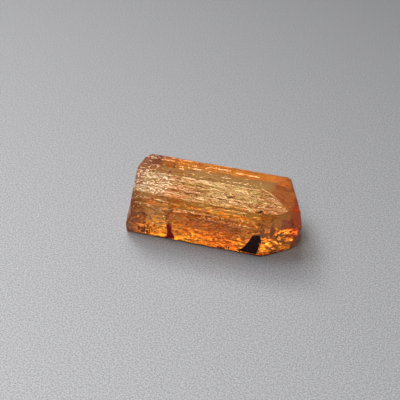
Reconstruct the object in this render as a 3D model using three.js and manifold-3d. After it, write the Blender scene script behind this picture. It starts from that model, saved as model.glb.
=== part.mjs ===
// Topaz crystal: a stout eight-sided prism lying on one of its long faces. One end has the crystal's own
// slanting end faces and comes to a blunt tip. The other is broken across the basal cleavage, in terraces.
//
// Millimetres. +X runs along the crystal's long axis toward the tip, +Y points to its back and +Z up.
// The origin is at the middle of the crystal's box, on the plane of the resting face.
import * as THREE from 'three';
import { mergeVertices } from 'three/addons/utils/BufferGeometryUtils.js';
import Module from 'manifold-3d';

const wasm = await Module();
wasm.setup();

// ---------------------------------------------------------------- driving dimensions

const crystalLength = 21.8;
const tipX = crystalLength / 2;
const brokenEndX = -crystalLength / 2;
const overrun = 0.8;               // how far the uncut prism reaches past both ends
const rings = 30;                  // rings of points along the uncut prism

// The prism's faces, from the foot of its front over the top and down its back. Each starts at a corner of
// the section, and its grooves run along the crystal no deeper than `groove`.
const faces = [
  { name: 'front foot', y: -4.64, z: 0, columns: 4, groove: 0.03 },
  { name: 'front', y: -4.68, z: 2.09, columns: 6, groove: 0.05 },
  { name: 'front shoulder', y: -4.56, z: 4.26, columns: 8, groove: 0.09 },
  { name: 'front top', y: -3.24, z: 5.94, columns: 14, groove: 0.15 },
  { name: 'back top', y: 0.23, z: 6.46, columns: 12, groove: 0.08 },
  { name: 'back', y: 4.68, z: 5.68, columns: 10, groove: 0.08 },
  { name: 'back foot', y: 3.95, z: 1.07, columns: 4, groove: 0.05 },
  { name: 'resting', y: 2.58, z: 0, columns: 1, groove: 0 },
];
const sectionMiddle = { y: 0, z: 3 };
const grooveRun = 3.2;             // typical length over which a groove deepens and dies out
const grooveShare = 0.45;          // share of the surface left between the grooves

// The end faces. The upper one slopes gently down from the end of the top's ridge; the others meet at the
// tip, and the undercut one leans back below it.
const tip = new THREE.Vector3(tipX, -1.27, 3.2);
const ridgeEnd = new THREE.Vector3(6.55, 0.23, 6.46);
const endFaces = [
  { name: 'upper', normal: new THREE.Vector3(1, 0.472, 4.23), through: ridgeEnd },
  { name: 'front', normal: new THREE.Vector3(0.607, -0.795, 0.03), through: tip },
  { name: 'back', normal: new THREE.Vector3(0.9, 0.37, 0.14), through: tip },
  { name: 'undercut', normal: new THREE.Vector3(0.9, -0.16, -0.28), through: tip },
];

// The broken end: terraces parallel to the cleavage, each one stepping back into the crystal where the
// distance along its direction (in degrees from +Y toward +Z) passes `at`.
const terraces = [
  { rise: 0.68, direction: 135, at: 4.9, riser: 1.4, wander: 0.3 },   // front shoulder
  { rise: 0.34, direction: 20, at: 0.4, riser: 0.2, wander: 1.4 },    // across the middle
  { rise: 0.28, direction: -40, at: 1.9, riser: 0.2, wander: 1.1 },   // toward the foot of the back
  { rise: -0.3, direction: 62, at: 4.4, riser: 0.25, wander: 0.8 },   // back out along the top
];
const breakGrain = 0.06;           // height of the break's roughness
const breakCell = 0.4;             // spacing of the points on the break
const cornerChip = { y: 4.9, z: 5.9, radius: 1.7, depth: 0.9 };     // shell-shaped, top back corner

// A cleavage step near the faced end, where a thin flake is gone from the front shoulder and the front.
const flakeX = 6;
const flakeDepth = 0.11;

// Etch pits: small pyramids sunk in the prism faces, thickest near the broken end.
const pitCount = 70;
const pitRadius = [0.14, 0.42];
const pitDepth = 0.16;             // depth of a pit as wide as the widest
const pitNearEnd = 2.4;            // how strongly pits crowd toward the broken end
const pitLong = 1.5;               // how much a pit is stretched along the crystal
const pitWide = 0.8;               // and across it

// Chips knocked out of the long edges: the corner of the section each sits on, its place along the
// crystal and its size.
const edgeChips = [
  { corner: 3, x: 5.8, radius: 0.34 },
  { corner: 3, x: -6.9, radius: 0.3 },
  { corner: 4, x: -9.6, radius: 0.5 },
  { corner: 5, x: -3.4, radius: 0.42 },
  { corner: 5, x: 2.9, radius: 0.3 },
  { corner: 2, x: -8.3, radius: 0.36 },
  { corner: 6, x: 1.6, radius: 0.45 },
  { corner: 6, x: -7.5, radius: 0.35 },
];
const chipStretch = 1.6;           // how much longer along the crystal a chip is than across
const chipCentre = 0.7;            // how far outside the edge a chip's ball is centred, in radii

const crystalColour = 0xc9742a;
const crystalRoughness = 0.24;

// ---------------------------------------------------------------- small helpers

const fraction = (value) => value - Math.floor(value);
const scatter = (i, j) => fraction(Math.sin(i * 127.1 + j * 311.7) * 43758.5453);
const ease = (t) => t * t * (3 - 2 * t);
const step = (value, centre, width) => ease(THREE.MathUtils.clamp((value - centre) / width + 0.5, 0, 1));

// Smooth noise from 0 to 1 over the plane, one random value to a unit cell.
function noise(u, v) {
  const i = Math.floor(u);
  const j = Math.floor(v);
  const s = ease(u - i);
  const t = ease(v - j);
  const low = THREE.MathUtils.lerp(scatter(i, j), scatter(i + 1, j), s);
  const high = THREE.MathUtils.lerp(scatter(i, j + 1), scatter(i + 1, j + 1), s);
  return THREE.MathUtils.lerp(low, high, t);
}

// A closed geometry as a solid that can be joined and cut.
function solid(geometry) {
  geometry.deleteAttribute('normal');
  geometry.deleteAttribute('uv');
  const merged = mergeVertices(geometry, 1e-5);
  return new wasm.Manifold(new wasm.Mesh({
    numProp: 3,
    vertProperties: Float32Array.from(merged.attributes.position.array),
    triVerts: Uint32Array.from(merged.index.array),
  }));
}

function geometryOf(manifold) {
  const mesh = manifold.getMesh();
  const geometry = new THREE.BufferGeometry();
  geometry.setAttribute('position', new THREE.BufferAttribute(mesh.vertProperties, 3));
  geometry.setIndex(new THREE.BufferAttribute(mesh.triVerts, 1));
  geometry.computeVertexNormals();
  return geometry;
}

// ---------------------------------------------------------------- the prism

// One point of the section for each column, with the way in from the face it lies on.
function sectionPoints() {
  const points = [];
  faces.forEach((face, index) => {
    const next = faces[(index + 1) % faces.length];
    const along = new THREE.Vector2(next.y - face.y, next.z - face.z);
    const inward = new THREE.Vector2(along.y, -along.x).normalize();
    for (let column = 0; column < face.columns; column += 1) {
      const t = column / face.columns;
      points.push({
        y: face.y + along.x * t,
        z: face.z + along.y * t,
        inward,
        groove: column === 0 ? 0 : face.groove,
      });
    }
  });
  return points;
}

function grooveDepth(column, x) {
  const depth = noise(column * 1.7, x / grooveRun + column * 5.3);
  return Math.max(0, depth - grooveShare) / (1 - grooveShare);
}

// The uncut prism: a cylinder's rings of points laid over the section, grooved along its length.
function prism() {
  const points = sectionPoints();
  const columns = points.length;
  const geometry = new THREE.CylinderGeometry(1, 1, crystalLength + 2 * overrun, columns, rings);
  const position = geometry.attributes.position;
  for (let i = 0; i < position.count; i += 1) {
    const x = position.getY(i);
    const across = position.getX(i);
    const up = position.getZ(i);
    if (Math.hypot(across, up) < 0.5) {
      position.setXYZ(i, x, sectionMiddle.y, sectionMiddle.z);
      continue;
    }
    const turn = Math.atan2(across, up) / (2 * Math.PI);
    const column = (columns - Math.round(turn * columns)) % columns;
    const point = points[column];
    const depth = point.groove * grooveDepth(column, x);
    position.setXYZ(i, x, point.y + point.inward.x * depth, point.z + point.inward.y * depth);
  }
  return solid(geometry);
}

// ---------------------------------------------------------------- cutting tools

// Everything on the far side of the plane through a point.
function beyond(normal, through) {
  const reach = 3 * crystalLength;
  const geometry = new THREE.BoxGeometry(reach, reach, reach);
  geometry.translate(0, 0, reach / 2);
  const facing = new THREE.Vector3(0, 0, 1);
  geometry.applyQuaternion(new THREE.Quaternion().setFromUnitVectors(facing, normal.clone().normalize()));
  geometry.translate(through.x, through.y, through.z);
  return solid(geometry);
}

// Where the broken surface lies, at a place in the section.
function breakX(y, z) {
  let x = brokenEndX;
  for (const terrace of terraces) {
    const angle = THREE.MathUtils.degToRad(terrace.direction);
    const across = y * Math.cos(angle) + z * Math.sin(angle);
    const wander = terrace.wander * (noise(y * 0.7 + terrace.direction, z * 0.7) - 0.5);
    x += terrace.rise * step(across + wander, terrace.at, terrace.riser);
  }
  const nearCorner = 1 - Math.hypot(y - cornerChip.y, z - cornerChip.z) / cornerChip.radius;
  x += cornerChip.depth * Math.max(0, nearCorner) ** 1.3;
  return Math.max(x, brokenEndX) + breakGrain * noise(y * 2.1, z * 2.1);
}

// Everything past the broken end: a block whose near side is the broken surface.
function brokenAway() {
  const deep = 4;
  const wide = 12;
  const high = 9;
  const geometry = new THREE.BoxGeometry(
    deep, wide, high, 1, Math.round(wide / breakCell), Math.round(high / breakCell),
  );
  geometry.translate(brokenEndX - deep / 2, 0, high / 2 - 1);
  const position = geometry.attributes.position;
  for (let i = 0; i < position.count; i += 1) {
    const onBreak = position.getX(i) > brokenEndX - deep / 2;
    if (onBreak) {
      position.setX(i, breakX(position.getY(i), position.getZ(i)));
    }
  }
  return solid(geometry);
}

// The thin flake gone from one face, from the cleavage step to past the tip.
function flake(face, next) {
  const along = new THREE.Vector2(next.y - face.y, next.z - face.z);
  const long = tipX - flakeX + overrun;
  const geometry = new THREE.BoxGeometry(long, along.length() * 1.3, 2 * flakeDepth);
  geometry.rotateX(Math.atan2(along.y, along.x));
  geometry.translate(flakeX + long / 2, (face.y + next.y) / 2, (face.z + next.z) / 2);
  return solid(geometry);
}

// One etch pit: a four-sided pyramid, point down in the face and longest along the crystal.
function pit(index) {
  const side = 2 + Math.floor(scatter(index, 1) * 4);
  const face = faces[side];
  const next = faces[side + 1];
  const t = 0.08 + 0.84 * scatter(index, 2);
  const x = brokenEndX + 1 + (crystalLength - 5) * scatter(index, 3) ** pitNearEnd;
  const radius = THREE.MathUtils.lerp(pitRadius[0], pitRadius[1], scatter(index, 4) ** 2);
  const deep = pitDepth * (radius / pitRadius[1]);
  const geometry = new THREE.ConeGeometry(radius * 2, deep * 2, 4);
  geometry.rotateX(-Math.PI / 2);
  geometry.scale(pitLong, pitWide, 1);
  geometry.rotateX(Math.atan2(next.z - face.z, next.y - face.y));
  geometry.translate(x, THREE.MathUtils.lerp(face.y, next.y, t), THREE.MathUtils.lerp(face.z, next.z, t));
  return solid(geometry);
}

// One chip: a small faceted ball centred just outside the edge it bites into.
function chip({ corner, x, radius }) {
  const edge = faces[corner];
  const geometry = new THREE.IcosahedronGeometry(radius, 1);
  geometry.scale(chipStretch, 1, 1);
  geometry.rotateX(corner);        // turned differently at each edge
  const outward = new THREE.Vector2(edge.y, edge.z - sectionMiddle.z).normalize();
  outward.multiplyScalar(radius * chipCentre);
  geometry.translate(x, edge.y + outward.x, edge.z + outward.y);
  return solid(geometry);
}

// ---------------------------------------------------------------- the crystal

let crystal = prism();
for (const face of endFaces) {
  crystal = crystal.subtract(beyond(face.normal, face.through));
}
crystal = crystal.subtract(brokenAway());
crystal = crystal.subtract(flake(faces[1], faces[2]));
crystal = crystal.subtract(flake(faces[2], faces[3]));
for (const edgeChip of edgeChips) {
  crystal = crystal.subtract(chip(edgeChip));
}
for (let index = 0; index < pitCount; index += 1) {
  crystal = crystal.subtract(pit(index));
}

const topaz = new THREE.Mesh(
  geometryOf(crystal),
  new THREE.MeshStandardMaterial({ color: crystalColour, roughness: crystalRoughness, metalness: 0 }),
);
topaz.name = 'topaz_crystal';

const part = new THREE.Group();
part.add(topaz);

export default part;
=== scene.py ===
"""A rough orange topaz crystal on a plain grey studio floor.

The crystal is a stout eight-sided prism that lies on a long face. One end has the crystal's own slanting
faces, the other is broken across the cleavage. Lengths in this file are millimetres unless their class
says otherwise; MM turns them into Blender's metres. +X runs along the crystal toward its faced end, +Y
toward its back and +Z up, with the origin under the middle of its box.
"""
import logging
import math
from dataclasses import dataclass, field
from enum import IntEnum

import bmesh
import bpy
import numpy as np
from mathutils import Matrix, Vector
from mathutils.geometry import delaunay_2d_cdt


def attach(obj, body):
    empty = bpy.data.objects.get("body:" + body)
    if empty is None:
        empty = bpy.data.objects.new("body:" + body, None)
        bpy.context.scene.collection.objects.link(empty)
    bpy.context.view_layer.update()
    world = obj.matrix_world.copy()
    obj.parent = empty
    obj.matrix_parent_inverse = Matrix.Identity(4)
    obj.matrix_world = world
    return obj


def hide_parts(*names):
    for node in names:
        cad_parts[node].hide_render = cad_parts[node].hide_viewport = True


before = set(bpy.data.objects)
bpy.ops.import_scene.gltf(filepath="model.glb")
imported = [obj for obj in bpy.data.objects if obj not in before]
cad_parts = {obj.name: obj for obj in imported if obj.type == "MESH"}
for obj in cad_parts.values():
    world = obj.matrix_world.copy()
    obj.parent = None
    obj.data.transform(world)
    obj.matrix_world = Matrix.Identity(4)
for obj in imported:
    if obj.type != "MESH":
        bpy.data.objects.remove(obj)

LOG = logging.getLogger("topaz")
MM = 0.001
NODE = "topaz_crystal"
TOPAZ_IOR = 1.62
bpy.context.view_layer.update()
Triple = tuple[float, float, float]


# ---------------------------------------------------------------- noise and small helpers


def scatter(i: np.ndarray, j: np.ndarray) -> np.ndarray:
    """Random numbers from 0 to 1, the same each time for the same pair of whole numbers."""
    value = np.sin(i * 127.1 + j * 311.7) * 43758.5453
    return value - np.floor(value)


def ease(t: np.ndarray) -> np.ndarray:
    """A smooth step from 0 to 1 over t from 0 to 1."""
    t = np.clip(t, 0.0, 1.0)
    return t * t * (3.0 - 2.0 * t)


def noise(u: np.ndarray, v: np.ndarray, creased: bool = False) -> np.ndarray:
    """Noise from 0 to 1 over the plane, one random value to a unit cell.

    Args:
        u: First coordinate, in cells.
        v: Second coordinate, in cells.
        creased: Straight between the values along u, so that it has creases there.

    Returns:
        One value for each pair of coordinates.
    """
    u, v = np.asarray(u, float), np.asarray(v, float)
    i, j = np.floor(u), np.floor(v)
    s = u - i if creased else ease(u - i)
    t = ease(v - j)
    low = scatter(i, j) * (1 - s) + scatter(i + 1, j) * s
    high = scatter(i, j + 1) * (1 - s) + scatter(i + 1, j + 1) * s
    return low * (1 - t) + high * t


def rise(value: np.ndarray, centre: float, width: float) -> np.ndarray:
    """A smooth step from 0 to 1 as value passes centre, over the given width."""
    return ease((value - centre) / width + 0.5)


# ---------------------------------------------------------------- the crystal's form


class Side(IntEnum):
    """The crystal's faces, numbered as its planes are: long faces, end faces, and the break."""

    FRONT_FOOT = 0
    FRONT = 1
    FRONT_SHOULDER = 2
    FRONT_TOP = 3
    BACK_TOP = 4
    BACK = 5
    BACK_FOOT = 6
    RESTING = 7
    END_UPPER = 8
    END_FRONT = 9
    END_BACK = 10
    END_UNDERCUT = 11
    BREAK = 12


@dataclass(frozen=True)
class ProfileFace:
    """One long face of the prism.

    Attributes:
        y: Where the face's first corner is, across the crystal.
        z: How high that corner is.
        columns: Coarse grooves across the face.
        groove: Depth of the coarse grooves.
        strips: Fine strips of mesh across the face.
        facets: Depth of the narrow facets that make its stripes.
        etch: How strongly it is etched, from 0 to 1.
        crumb: Depth of the small knobs between the stripes.
        run: How long its stripes are, as a share of the longest ones.
    """

    y: float
    z: float
    columns: int
    groove: float
    strips: int
    facets: float
    etch: float
    crumb: float
    run: float


@dataclass(frozen=True)
class Form:
    """The crystal's planes, worked out from its section, its tip and its ends.

    Attributes:
        profile: The long faces, once around the section.
        half_length: Half the crystal's length.
        overrun: How far the uncut prism runs past the tip.
        tip: Where the front, back and undercut end faces meet.
        ridge_end: Where the top's ridge meets the upper end face.
        upper_normal: The direction that the upper end face looks in.
        step_x: Where the cleavage step runs down the front.
        step_depth: How deep the front is stepped in past it.
        step_slope: How wide the step's slope is.
        front_normal: The direction that the front end face looks in.
        back_normal: The direction that the back end face looks in.
        undercut_normal: The direction that the end face under the tip looks in.
    """

    profile: tuple[ProfileFace, ...] = (
        ProfileFace(-4.64, 0.0, 4, 0.03, 30, 0.05, 0.9, 0.22, 0.3),
        ProfileFace(-4.68, 2.09, 6, 0.05, 30, 0.055, 0.4, 0.22, 0.3),
        ProfileFace(-4.56, 4.26, 8, 0.09, 34, 0.075, 0.6, 0.07, 1.1),
        ProfileFace(-3.24, 5.94, 14, 0.15, 58, 0.08, 1.0, 0.04, 1.5),
        ProfileFace(0.23, 6.46, 12, 0.08, 60, 0.034, 0.6, 0.025, 1.0),
        ProfileFace(4.68, 5.68, 10, 0.08, 48, 0.045, 0.5, 0.05, 0.6),
        ProfileFace(3.95, 1.07, 4, 0.05, 18, 0.030, 0.4, 0.06, 0.6),
        ProfileFace(2.58, 0.0, 1, 0.0, 30, 0.0, 0.0, 0.0, 1.0),
    )
    half_length: float = 10.9
    overrun: float = 0.8
    tip: Triple = (10.9, -1.27, 3.2)
    ridge_end: Triple = (6.55, 0.23, 6.46)
    upper_normal: Triple = (1.0, 0.472, 4.23)
    step_x: float = 6.0
    step_depth: float = 0.11
    step_slope: float = 0.14
    front_normal: Triple = (0.607, -0.795, 0.03)
    back_normal: Triple = (0.9, 0.37, 0.14)
    undercut_normal: Triple = (0.9, -0.16, -0.28)

    def corners(self) -> np.ndarray:
        """The section's corners as (y, z), once around."""
        return np.array([(face.y, face.z) for face in self.profile])

    def roof(self, y: float) -> float:
        """How high the top of the section is at a place across the crystal."""
        top = self.corners()[Side.FRONT_SHOULDER:Side.BACK_FOOT]
        return float(np.interp(y, top[:, 0], top[:, 1]))

    def step(self, x: np.ndarray) -> np.ndarray:
        """How deep the front and the front shoulder are stepped in, past the cleavage step."""
        return self.step_depth * rise(x, self.step_x, self.step_slope)

    def planes(self) -> tuple[np.ndarray, np.ndarray]:
        """The planes of all faces.

        Returns:
            Their outward normals, and how far out along its normal each plane lies.
        """
        corners = self.corners()
        normals, offsets = [], []
        for start, end in zip(corners, np.roll(corners, -1, axis=0)):
            along = end - start
            normal = np.array([0.0, -along[1], along[0]]) / np.linalg.norm(along)
            normals.append(normal)
            offsets.append(normal @ np.array([0.0, *start]))
        ends = (
            (self.upper_normal, self.ridge_end),
            (self.front_normal, self.tip),
            (self.back_normal, self.tip),
            (self.undercut_normal, self.tip),
            ((-1.0, 0.0, 0.0), (-self.half_length, 0.0, 0.0)),
        )
        for normal, through in ends:
            unit = np.array(normal) / np.linalg.norm(normal)
            normals.append(unit)
            offsets.append(unit @ np.array(through))
        return np.array(normals), np.array(offsets)


@dataclass(frozen=True)
class Terrace:
    """A step in the broken end.

    Attributes:
        height: How far the step goes back into the crystal.
        direction: Degrees from +Y toward +Z in which the distance to the step counts.
        at: The distance at which the step lies.
        riser: How wide its slope is.
        wander: How much its edge strays.
    """

    height: float
    direction: float
    at: float
    riser: float
    wander: float


@dataclass(frozen=True)
class BrokenEnd:
    """The end that broke across the cleavage.

    Attributes:
        form: The crystal's form.
        terraces: The steps in the end.
        wander_cells: How often the steps' edges stray, in waves to a millimetre.
        grain: The height of the roughness over the end.
        grain_cells: Its grains to a millimetre.
        ripples: Finer layers of roughness, each with its height and its grains to a millimetre.
        chip_y: Where the shell-shaped chip is, across the crystal.
        chip_z: How high the chip is.
        chip_radius: How wide the chip reaches.
        chip_depth: How deep it goes.
        chip_curve: How sharply it deepens.
        fade: How far along the crystal the end's shape fades out.
    """

    form: Form
    terraces: tuple[Terrace, ...] = (
        Terrace(0.68, 135, 4.9, 1.4, 0.3),
        Terrace(0.34, 20, 0.4, 0.2, 1.4),
        Terrace(0.28, -40, 1.9, 0.2, 1.1),
        Terrace(-0.3, 62, 4.4, 0.25, 0.8),
    )
    wander_cells: float = 0.7
    grain: float = 0.06
    grain_cells: float = 2.1
    ripples: tuple[tuple[float, float], ...] = ((0.03, 5.3), (0.02, 11.0))
    chip_y: float = 4.9
    chip_z: float = 5.9
    chip_radius: float = 1.7
    chip_depth: float = 0.9
    chip_curve: float = 1.3
    fade: float = 3.6

    def setback(self, y: np.ndarray, z: np.ndarray) -> np.ndarray:
        """How far the broken surface lies inside the crystal's outermost point.

        Args:
            y: Places across the crystal.
            z: How high they are.

        Returns:
            The distance at each place.
        """
        back = np.zeros_like(y)
        for terrace in self.terraces:
            angle = math.radians(terrace.direction)
            across = y * math.cos(angle) + z * math.sin(angle)
            stray = noise(y * self.wander_cells + terrace.direction, z * self.wander_cells) - 0.5
            back += terrace.height * rise(across + terrace.wander * stray, terrace.at, terrace.riser)
        near = 1 - np.hypot(y - self.chip_y, z - self.chip_z) / self.chip_radius
        back += self.chip_depth * np.maximum(0, near) ** self.chip_curve
        return np.maximum(back, 0) + self.grain * noise(y * self.grain_cells, z * self.grain_cells)

    def shift(self, points: np.ndarray) -> np.ndarray:
        """How far each point moves along the crystal, most at the break and not at all past the fade.

        Args:
            points: The skin's points.

        Returns:
            The distance for each point.
        """
        y, z = points[:, 1], points[:, 2]
        away = np.clip((points[:, 0] + self.form.half_length) / self.fade, 0, 1)
        ripple = sum(depth * (noise(y * cells, z * cells) - 0.5) for depth, cells in self.ripples)
        return (self.setback(y, z) + np.maximum(ripple, -self.grain / 2)) * (1 - away) ** 2


# ---------------------------------------------------------------- the surface's relief


@dataclass(frozen=True)
class Pit:
    """An etch pit on a long face: a shallow rhombus, longest along the crystal.

    Attributes:
        x: Where its middle is along the crystal.
        across: Where its middle is across the face, from the face's first corner.
        length: Half its length along the crystal.
        width: Half its width across the face.
        depth: How deep its middle is.
    """

    x: float
    across: float
    length: float
    width: float
    depth: float


@dataclass(frozen=True)
class EdgeChip:
    """A chip out of a long edge.

    Attributes:
        corner: The corner of the section it sits on.
        x: Where its middle is along the crystal.
        radius: Its size.
    """

    corner: int
    x: float
    radius: float


@dataclass(frozen=True)
class Ridges:
    """Ridges that run along the crystal.

    Attributes:
        width: How wide a ridge is.
        length: How long a ridge is.
        share: Their share of the face's depth.
        turn: Sets the ridges of one face apart from those of the next.
    """

    width: float
    length: float
    share: float
    turn: int

    def over(self, side: Side, x: np.ndarray, place: np.ndarray, run: float = 1.0,
             creased: bool = True) -> np.ndarray:
        """How high the ridges are over a face.

        Args:
            side: The face.
            x: Places along the crystal.
            place: Places across the face.
            run: Stretches the ridges along the crystal.
            creased: Whether they have sharp crests.

        Returns:
            Heights from 0 to the ridges' share.
        """
        return self.share * noise(place / self.width, x / (self.length * run) + self.turn * side, creased)


@dataclass(frozen=True)
class Grain:
    """Grains over a face.

    Attributes:
        share: How high a grain is.
        along: Grains to a millimetre along the face's first direction.
        across: Grains to a millimetre along its second direction.
        turn_along: Sets the faces' patterns apart in the first direction.
        turn_across: Sets them apart in the second direction.
        creased: Whether the grains have sharp edges.
    """

    share: float
    along: float
    across: float
    turn_along: int = 0
    turn_across: int = 0
    creased: bool = False

    def over(self, side: Side, first: np.ndarray, second: np.ndarray) -> np.ndarray:
        """How high the grains are over a face.

        Args:
            side: The face.
            first: Places in the face's first direction.
            second: Places in its second direction.

        Returns:
            Heights from 0 to the grains' share.
        """
        u = first * self.along + self.turn_along * side
        v = second * self.across + self.turn_across * side
        return self.share * noise(u, v, self.creased)


# The height of the relief over each end face.
END_RELIEF = {Side.END_UPPER: 0.035, Side.END_FRONT: 0.17, Side.END_BACK: 0.07, Side.END_UNDERCUT: 0.06}


@dataclass
class Relief:
    """How deep the skin lies under the crystal's plane faces.

    Attributes:
        form: The crystal's form.
        flakes: The dark flakes, over which the skin is planed flat.
        flake_clearance: How deep the skin is planed there.
        edge_fade: How far from an edge the relief starts.
        groove_run: How long the coarse grooves are.
        groove_share: How much of each column is left without a groove, from 0 to 1.
        groove_apart: Sets neighbouring grooves apart in depth.
        groove_shift: Sets them apart along the crystal.
        drift: How far the ridges stray across their face.
        drift_run: Over which length they stray.
        drift_cells: How fast the stray changes across a face.
        drift_turn: Sets the stray of one face apart from that of the next.
        swell: The broadest ridges.
        facets: Narrow facets.
        ribs: Fine ridges.
        dashes: Short fine ridges.
        threads: The finest ridges.
        least_ribbed: How strong the fine ridges are where they are weakest.
        ribbed: How much stronger they are elsewhere.
        etch_start: Where the etching near the break starts to fade.
        etch_run: Over which length it fades.
        etch_stray: How unevenly it fades.
        etch_edge: The pattern in which it fades.
        etch_patches: The pattern of etched patches elsewhere.
        patch_level: Where in that pattern the patches start, from 0 to 1.
        patch_edge: How soft their edges are.
        patch_share: How strongly they are etched.
        etch_wears: How much of the ridges is gone where the skin is etched.
        etch_depth: The height of the etched skin's grains.
        etch_grains: The etched skin's two sizes of grain.
        frost_depth: The height of the frosting.
        frosting: The frosting's grains.
        crumbs: Small knobs, and the pattern that splits them.
        level_run: Over which length the top faces turn smooth toward the upper end face.
        level_stray: How unevenly they turn smooth.
        level_cells: How fast that changes across and along the crystal.
        level_share: How smooth they turn.
        facet_mean: The facets' mean depth, which is taken off again.
        crumb_mean: The knobs' mean depth, which is taken off again.
        groove_mean: The coarse grooves' mean depth, which is taken off again.
        end_skew: How the steps on the end faces slant.
        end_hills: Growth hills on the end faces.
        end_steps: Fine steps on the end faces.
        end_grain: Coarse grains on the end faces.
        end_fine: Fine grains on the end faces.
        end_mean: The mean of these four, which is taken off again.
        pit_count: How many etch pits there are.
        pit_seed: The seed of their places and sizes.
        pit_start: How far from the break they start.
        pit_reach: How far along the crystal they reach.
        pit_crowd: How strongly they crowd toward the break.
        pit_least: The size of the smallest pit.
        pit_spread: How much larger the largest pit is.
        pit_rarity: How rare large pits are.
        pit_margin: The share of a face's width along its edges that has none.
        pit_shape: A pit's half length, half width and depth, as shares of its size.
        edge_chips: Chips out of the long edges.
    """

    form: Form
    flakes: tuple["Flake", ...] = ()
    flake_clearance: float = 0.03
    edge_fade: float = 0.09
    groove_run: float = 3.2
    groove_share: float = 0.45
    groove_apart: float = 1.7
    groove_shift: float = 5.3
    drift: float = 0.2
    drift_run: float = 6.0
    drift_cells: float = 0.5
    drift_turn: int = 9
    swell: Ridges = Ridges(1.3, 7.0, 0.5, 11)
    facets: Ridges = Ridges(0.42, 5.2, 0.85, 31)
    ribs: Ridges = Ridges(0.19, 3.1, 0.34, 57)
    dashes: Ridges = Ridges(0.26, 0.9, 0.3, 71)
    threads: Ridges = Ridges(0.09, 1.6, 0.1, 83)
    least_ribbed: float = 0.35
    ribbed: Grain = Grain(1.3, 0.85, 2.4, 3)
    etch_start: float = -8.6
    etch_run: float = 4.5
    etch_stray: float = 0.35
    etch_edge: Grain = Grain(1.0, 0.8, 0.9)
    etch_patches: Grain = Grain(1.0, 0.45, 0.8, 7)
    patch_level: float = 0.62
    patch_edge: float = 0.2
    patch_share: float = 0.55
    etch_wears: float = 0.7
    etch_depth: float = 0.075
    etch_grains: tuple[Grain, Grain] = (Grain(0.6, 3.1, 4.2), Grain(0.4, 6.5, 8.7))
    frost_depth: float = 0.05
    frosting: Grain = Grain(1.0, 7.9, 9.1, 3, 0, True)
    crumbs: tuple[Grain, Grain] = (Grain(1.0, 2.4, 5.1, 17), Grain(1.0, 4.7, 9.3, 0, 5, True))
    level_run: float = 2.4
    level_stray: float = 0.6
    level_cells: tuple[float, float] = (1.6, 0.9)
    level_share: float = 0.85
    facet_mean: float = 0.9
    crumb_mean: float = 0.3
    groove_mean: float = 0.2
    end_skew: tuple[float, float] = (2.3, 1.1)
    end_hills: Grain = Grain(0.4, 0.9, 0.9, 13)
    end_steps: Grain = Grain(0.4, 1.0, 0.7, 0, 3, True)
    end_grain: Grain = Grain(0.45, 3.6, 4.1, 0, 1, True)
    end_fine: Grain = Grain(0.25, 5.7, 5.2, 0, 1)
    end_mean: float = 0.75
    pit_count: int = 700
    pit_seed: int = 11
    pit_start: float = 0.4
    pit_reach: float = 20.6
    pit_crowd: float = 1.9
    pit_least: float = 0.07
    pit_spread: float = 0.24
    pit_rarity: float = 2.5
    pit_margin: float = 0.03
    pit_shape: Triple = (1.5, 0.8, 0.26)
    edge_chips: tuple[EdgeChip, ...] = (
        EdgeChip(3, 5.8, 0.34),
        EdgeChip(3, -6.9, 0.3),
        EdgeChip(4, -9.6, 0.5),
        EdgeChip(5, -3.4, 0.42),
        EdgeChip(5, 2.9, 0.3),
        EdgeChip(2, -8.3, 0.36),
        EdgeChip(6, 1.6, 0.45),
        EdgeChip(6, -7.5, 0.35),
    )

    def etched(self, side: Side, x: np.ndarray, across: np.ndarray) -> np.ndarray:
        """How etched the skin is: most near the broken end, in patches elsewhere.

        Args:
            side: The face.
            x: Places along the crystal.
            across: Places across the face, from its first corner.

        Returns:
            Shares from 0 to the face's own strength.
        """
        stray = self.etch_stray * (self.etch_edge.over(side, x, across) - 0.5)
        near_break = 1 - ease((x - self.etch_start) / self.etch_run + stray)
        patches = ease((self.etch_patches.over(side, x, across) - self.patch_level) / self.patch_edge)
        return self.form.profile[side].etch * np.clip(near_break + self.patch_share * patches, 0, 1)

    def coarse_grooves(self, side: Side, x: np.ndarray, across: np.ndarray) -> np.ndarray:
        """The grooves that run along the crystal, as the plain solid has them.

        Args:
            side: The face.
            x: Places along the crystal.
            across: Places across the face, from its first corner.

        Returns:
            How deep the grooves are at each place.
        """
        face = self.form.profile[side]
        corners = self.form.corners()
        width = np.linalg.norm(np.roll(corners, -1, axis=0)[side] - corners[side])
        first = sum(other.columns for other in self.form.profile[:side])
        place = across / width * face.columns
        low = np.floor(place)
        share = place - low

        def depth(column: np.ndarray) -> np.ndarray:
            """How deep the grooves along some columns are.

            Args:
                column: The columns.

            Returns:
                The depths, as shares of the deepest.
            """
            inner = (column > 0) & (column < face.columns)
            place = first + column
            value = noise(place * self.groove_apart, x / self.groove_run + place * self.groove_shift)
            return np.where(inner, np.maximum(0, value - self.groove_share) / (1 - self.groove_share), 0)

        return face.groove * (depth(low) * (1 - share) + depth(low + 1) * share)

    def level(self, side: Side, x: np.ndarray, across: np.ndarray) -> np.ndarray:
        """How smooth the top faces turn toward the upper end face.

        Args:
            side: The face.
            x: Places along the crystal.
            across: Places across the face, from its first corner.

        Returns:
            Shares from 0 to 1.
        """
        corners = self.form.corners()
        along = np.roll(corners, -1, axis=0)[side] - corners[side]
        along /= np.linalg.norm(along)
        normals, offsets = self.form.planes()
        normal = normals[Side.END_UPPER]
        y, z = corners[side][:, None] + along[:, None] * across
        left = (offsets[Side.END_UPPER] - normal[1] * y - normal[2] * z) / normal[0] - x
        across_cells, along_cells = self.level_cells
        stray = noise(y * across_cells, x * along_cells, creased=True) - 0.5
        return 1 - ease(left / self.level_run + self.level_stray * stray)

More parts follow.
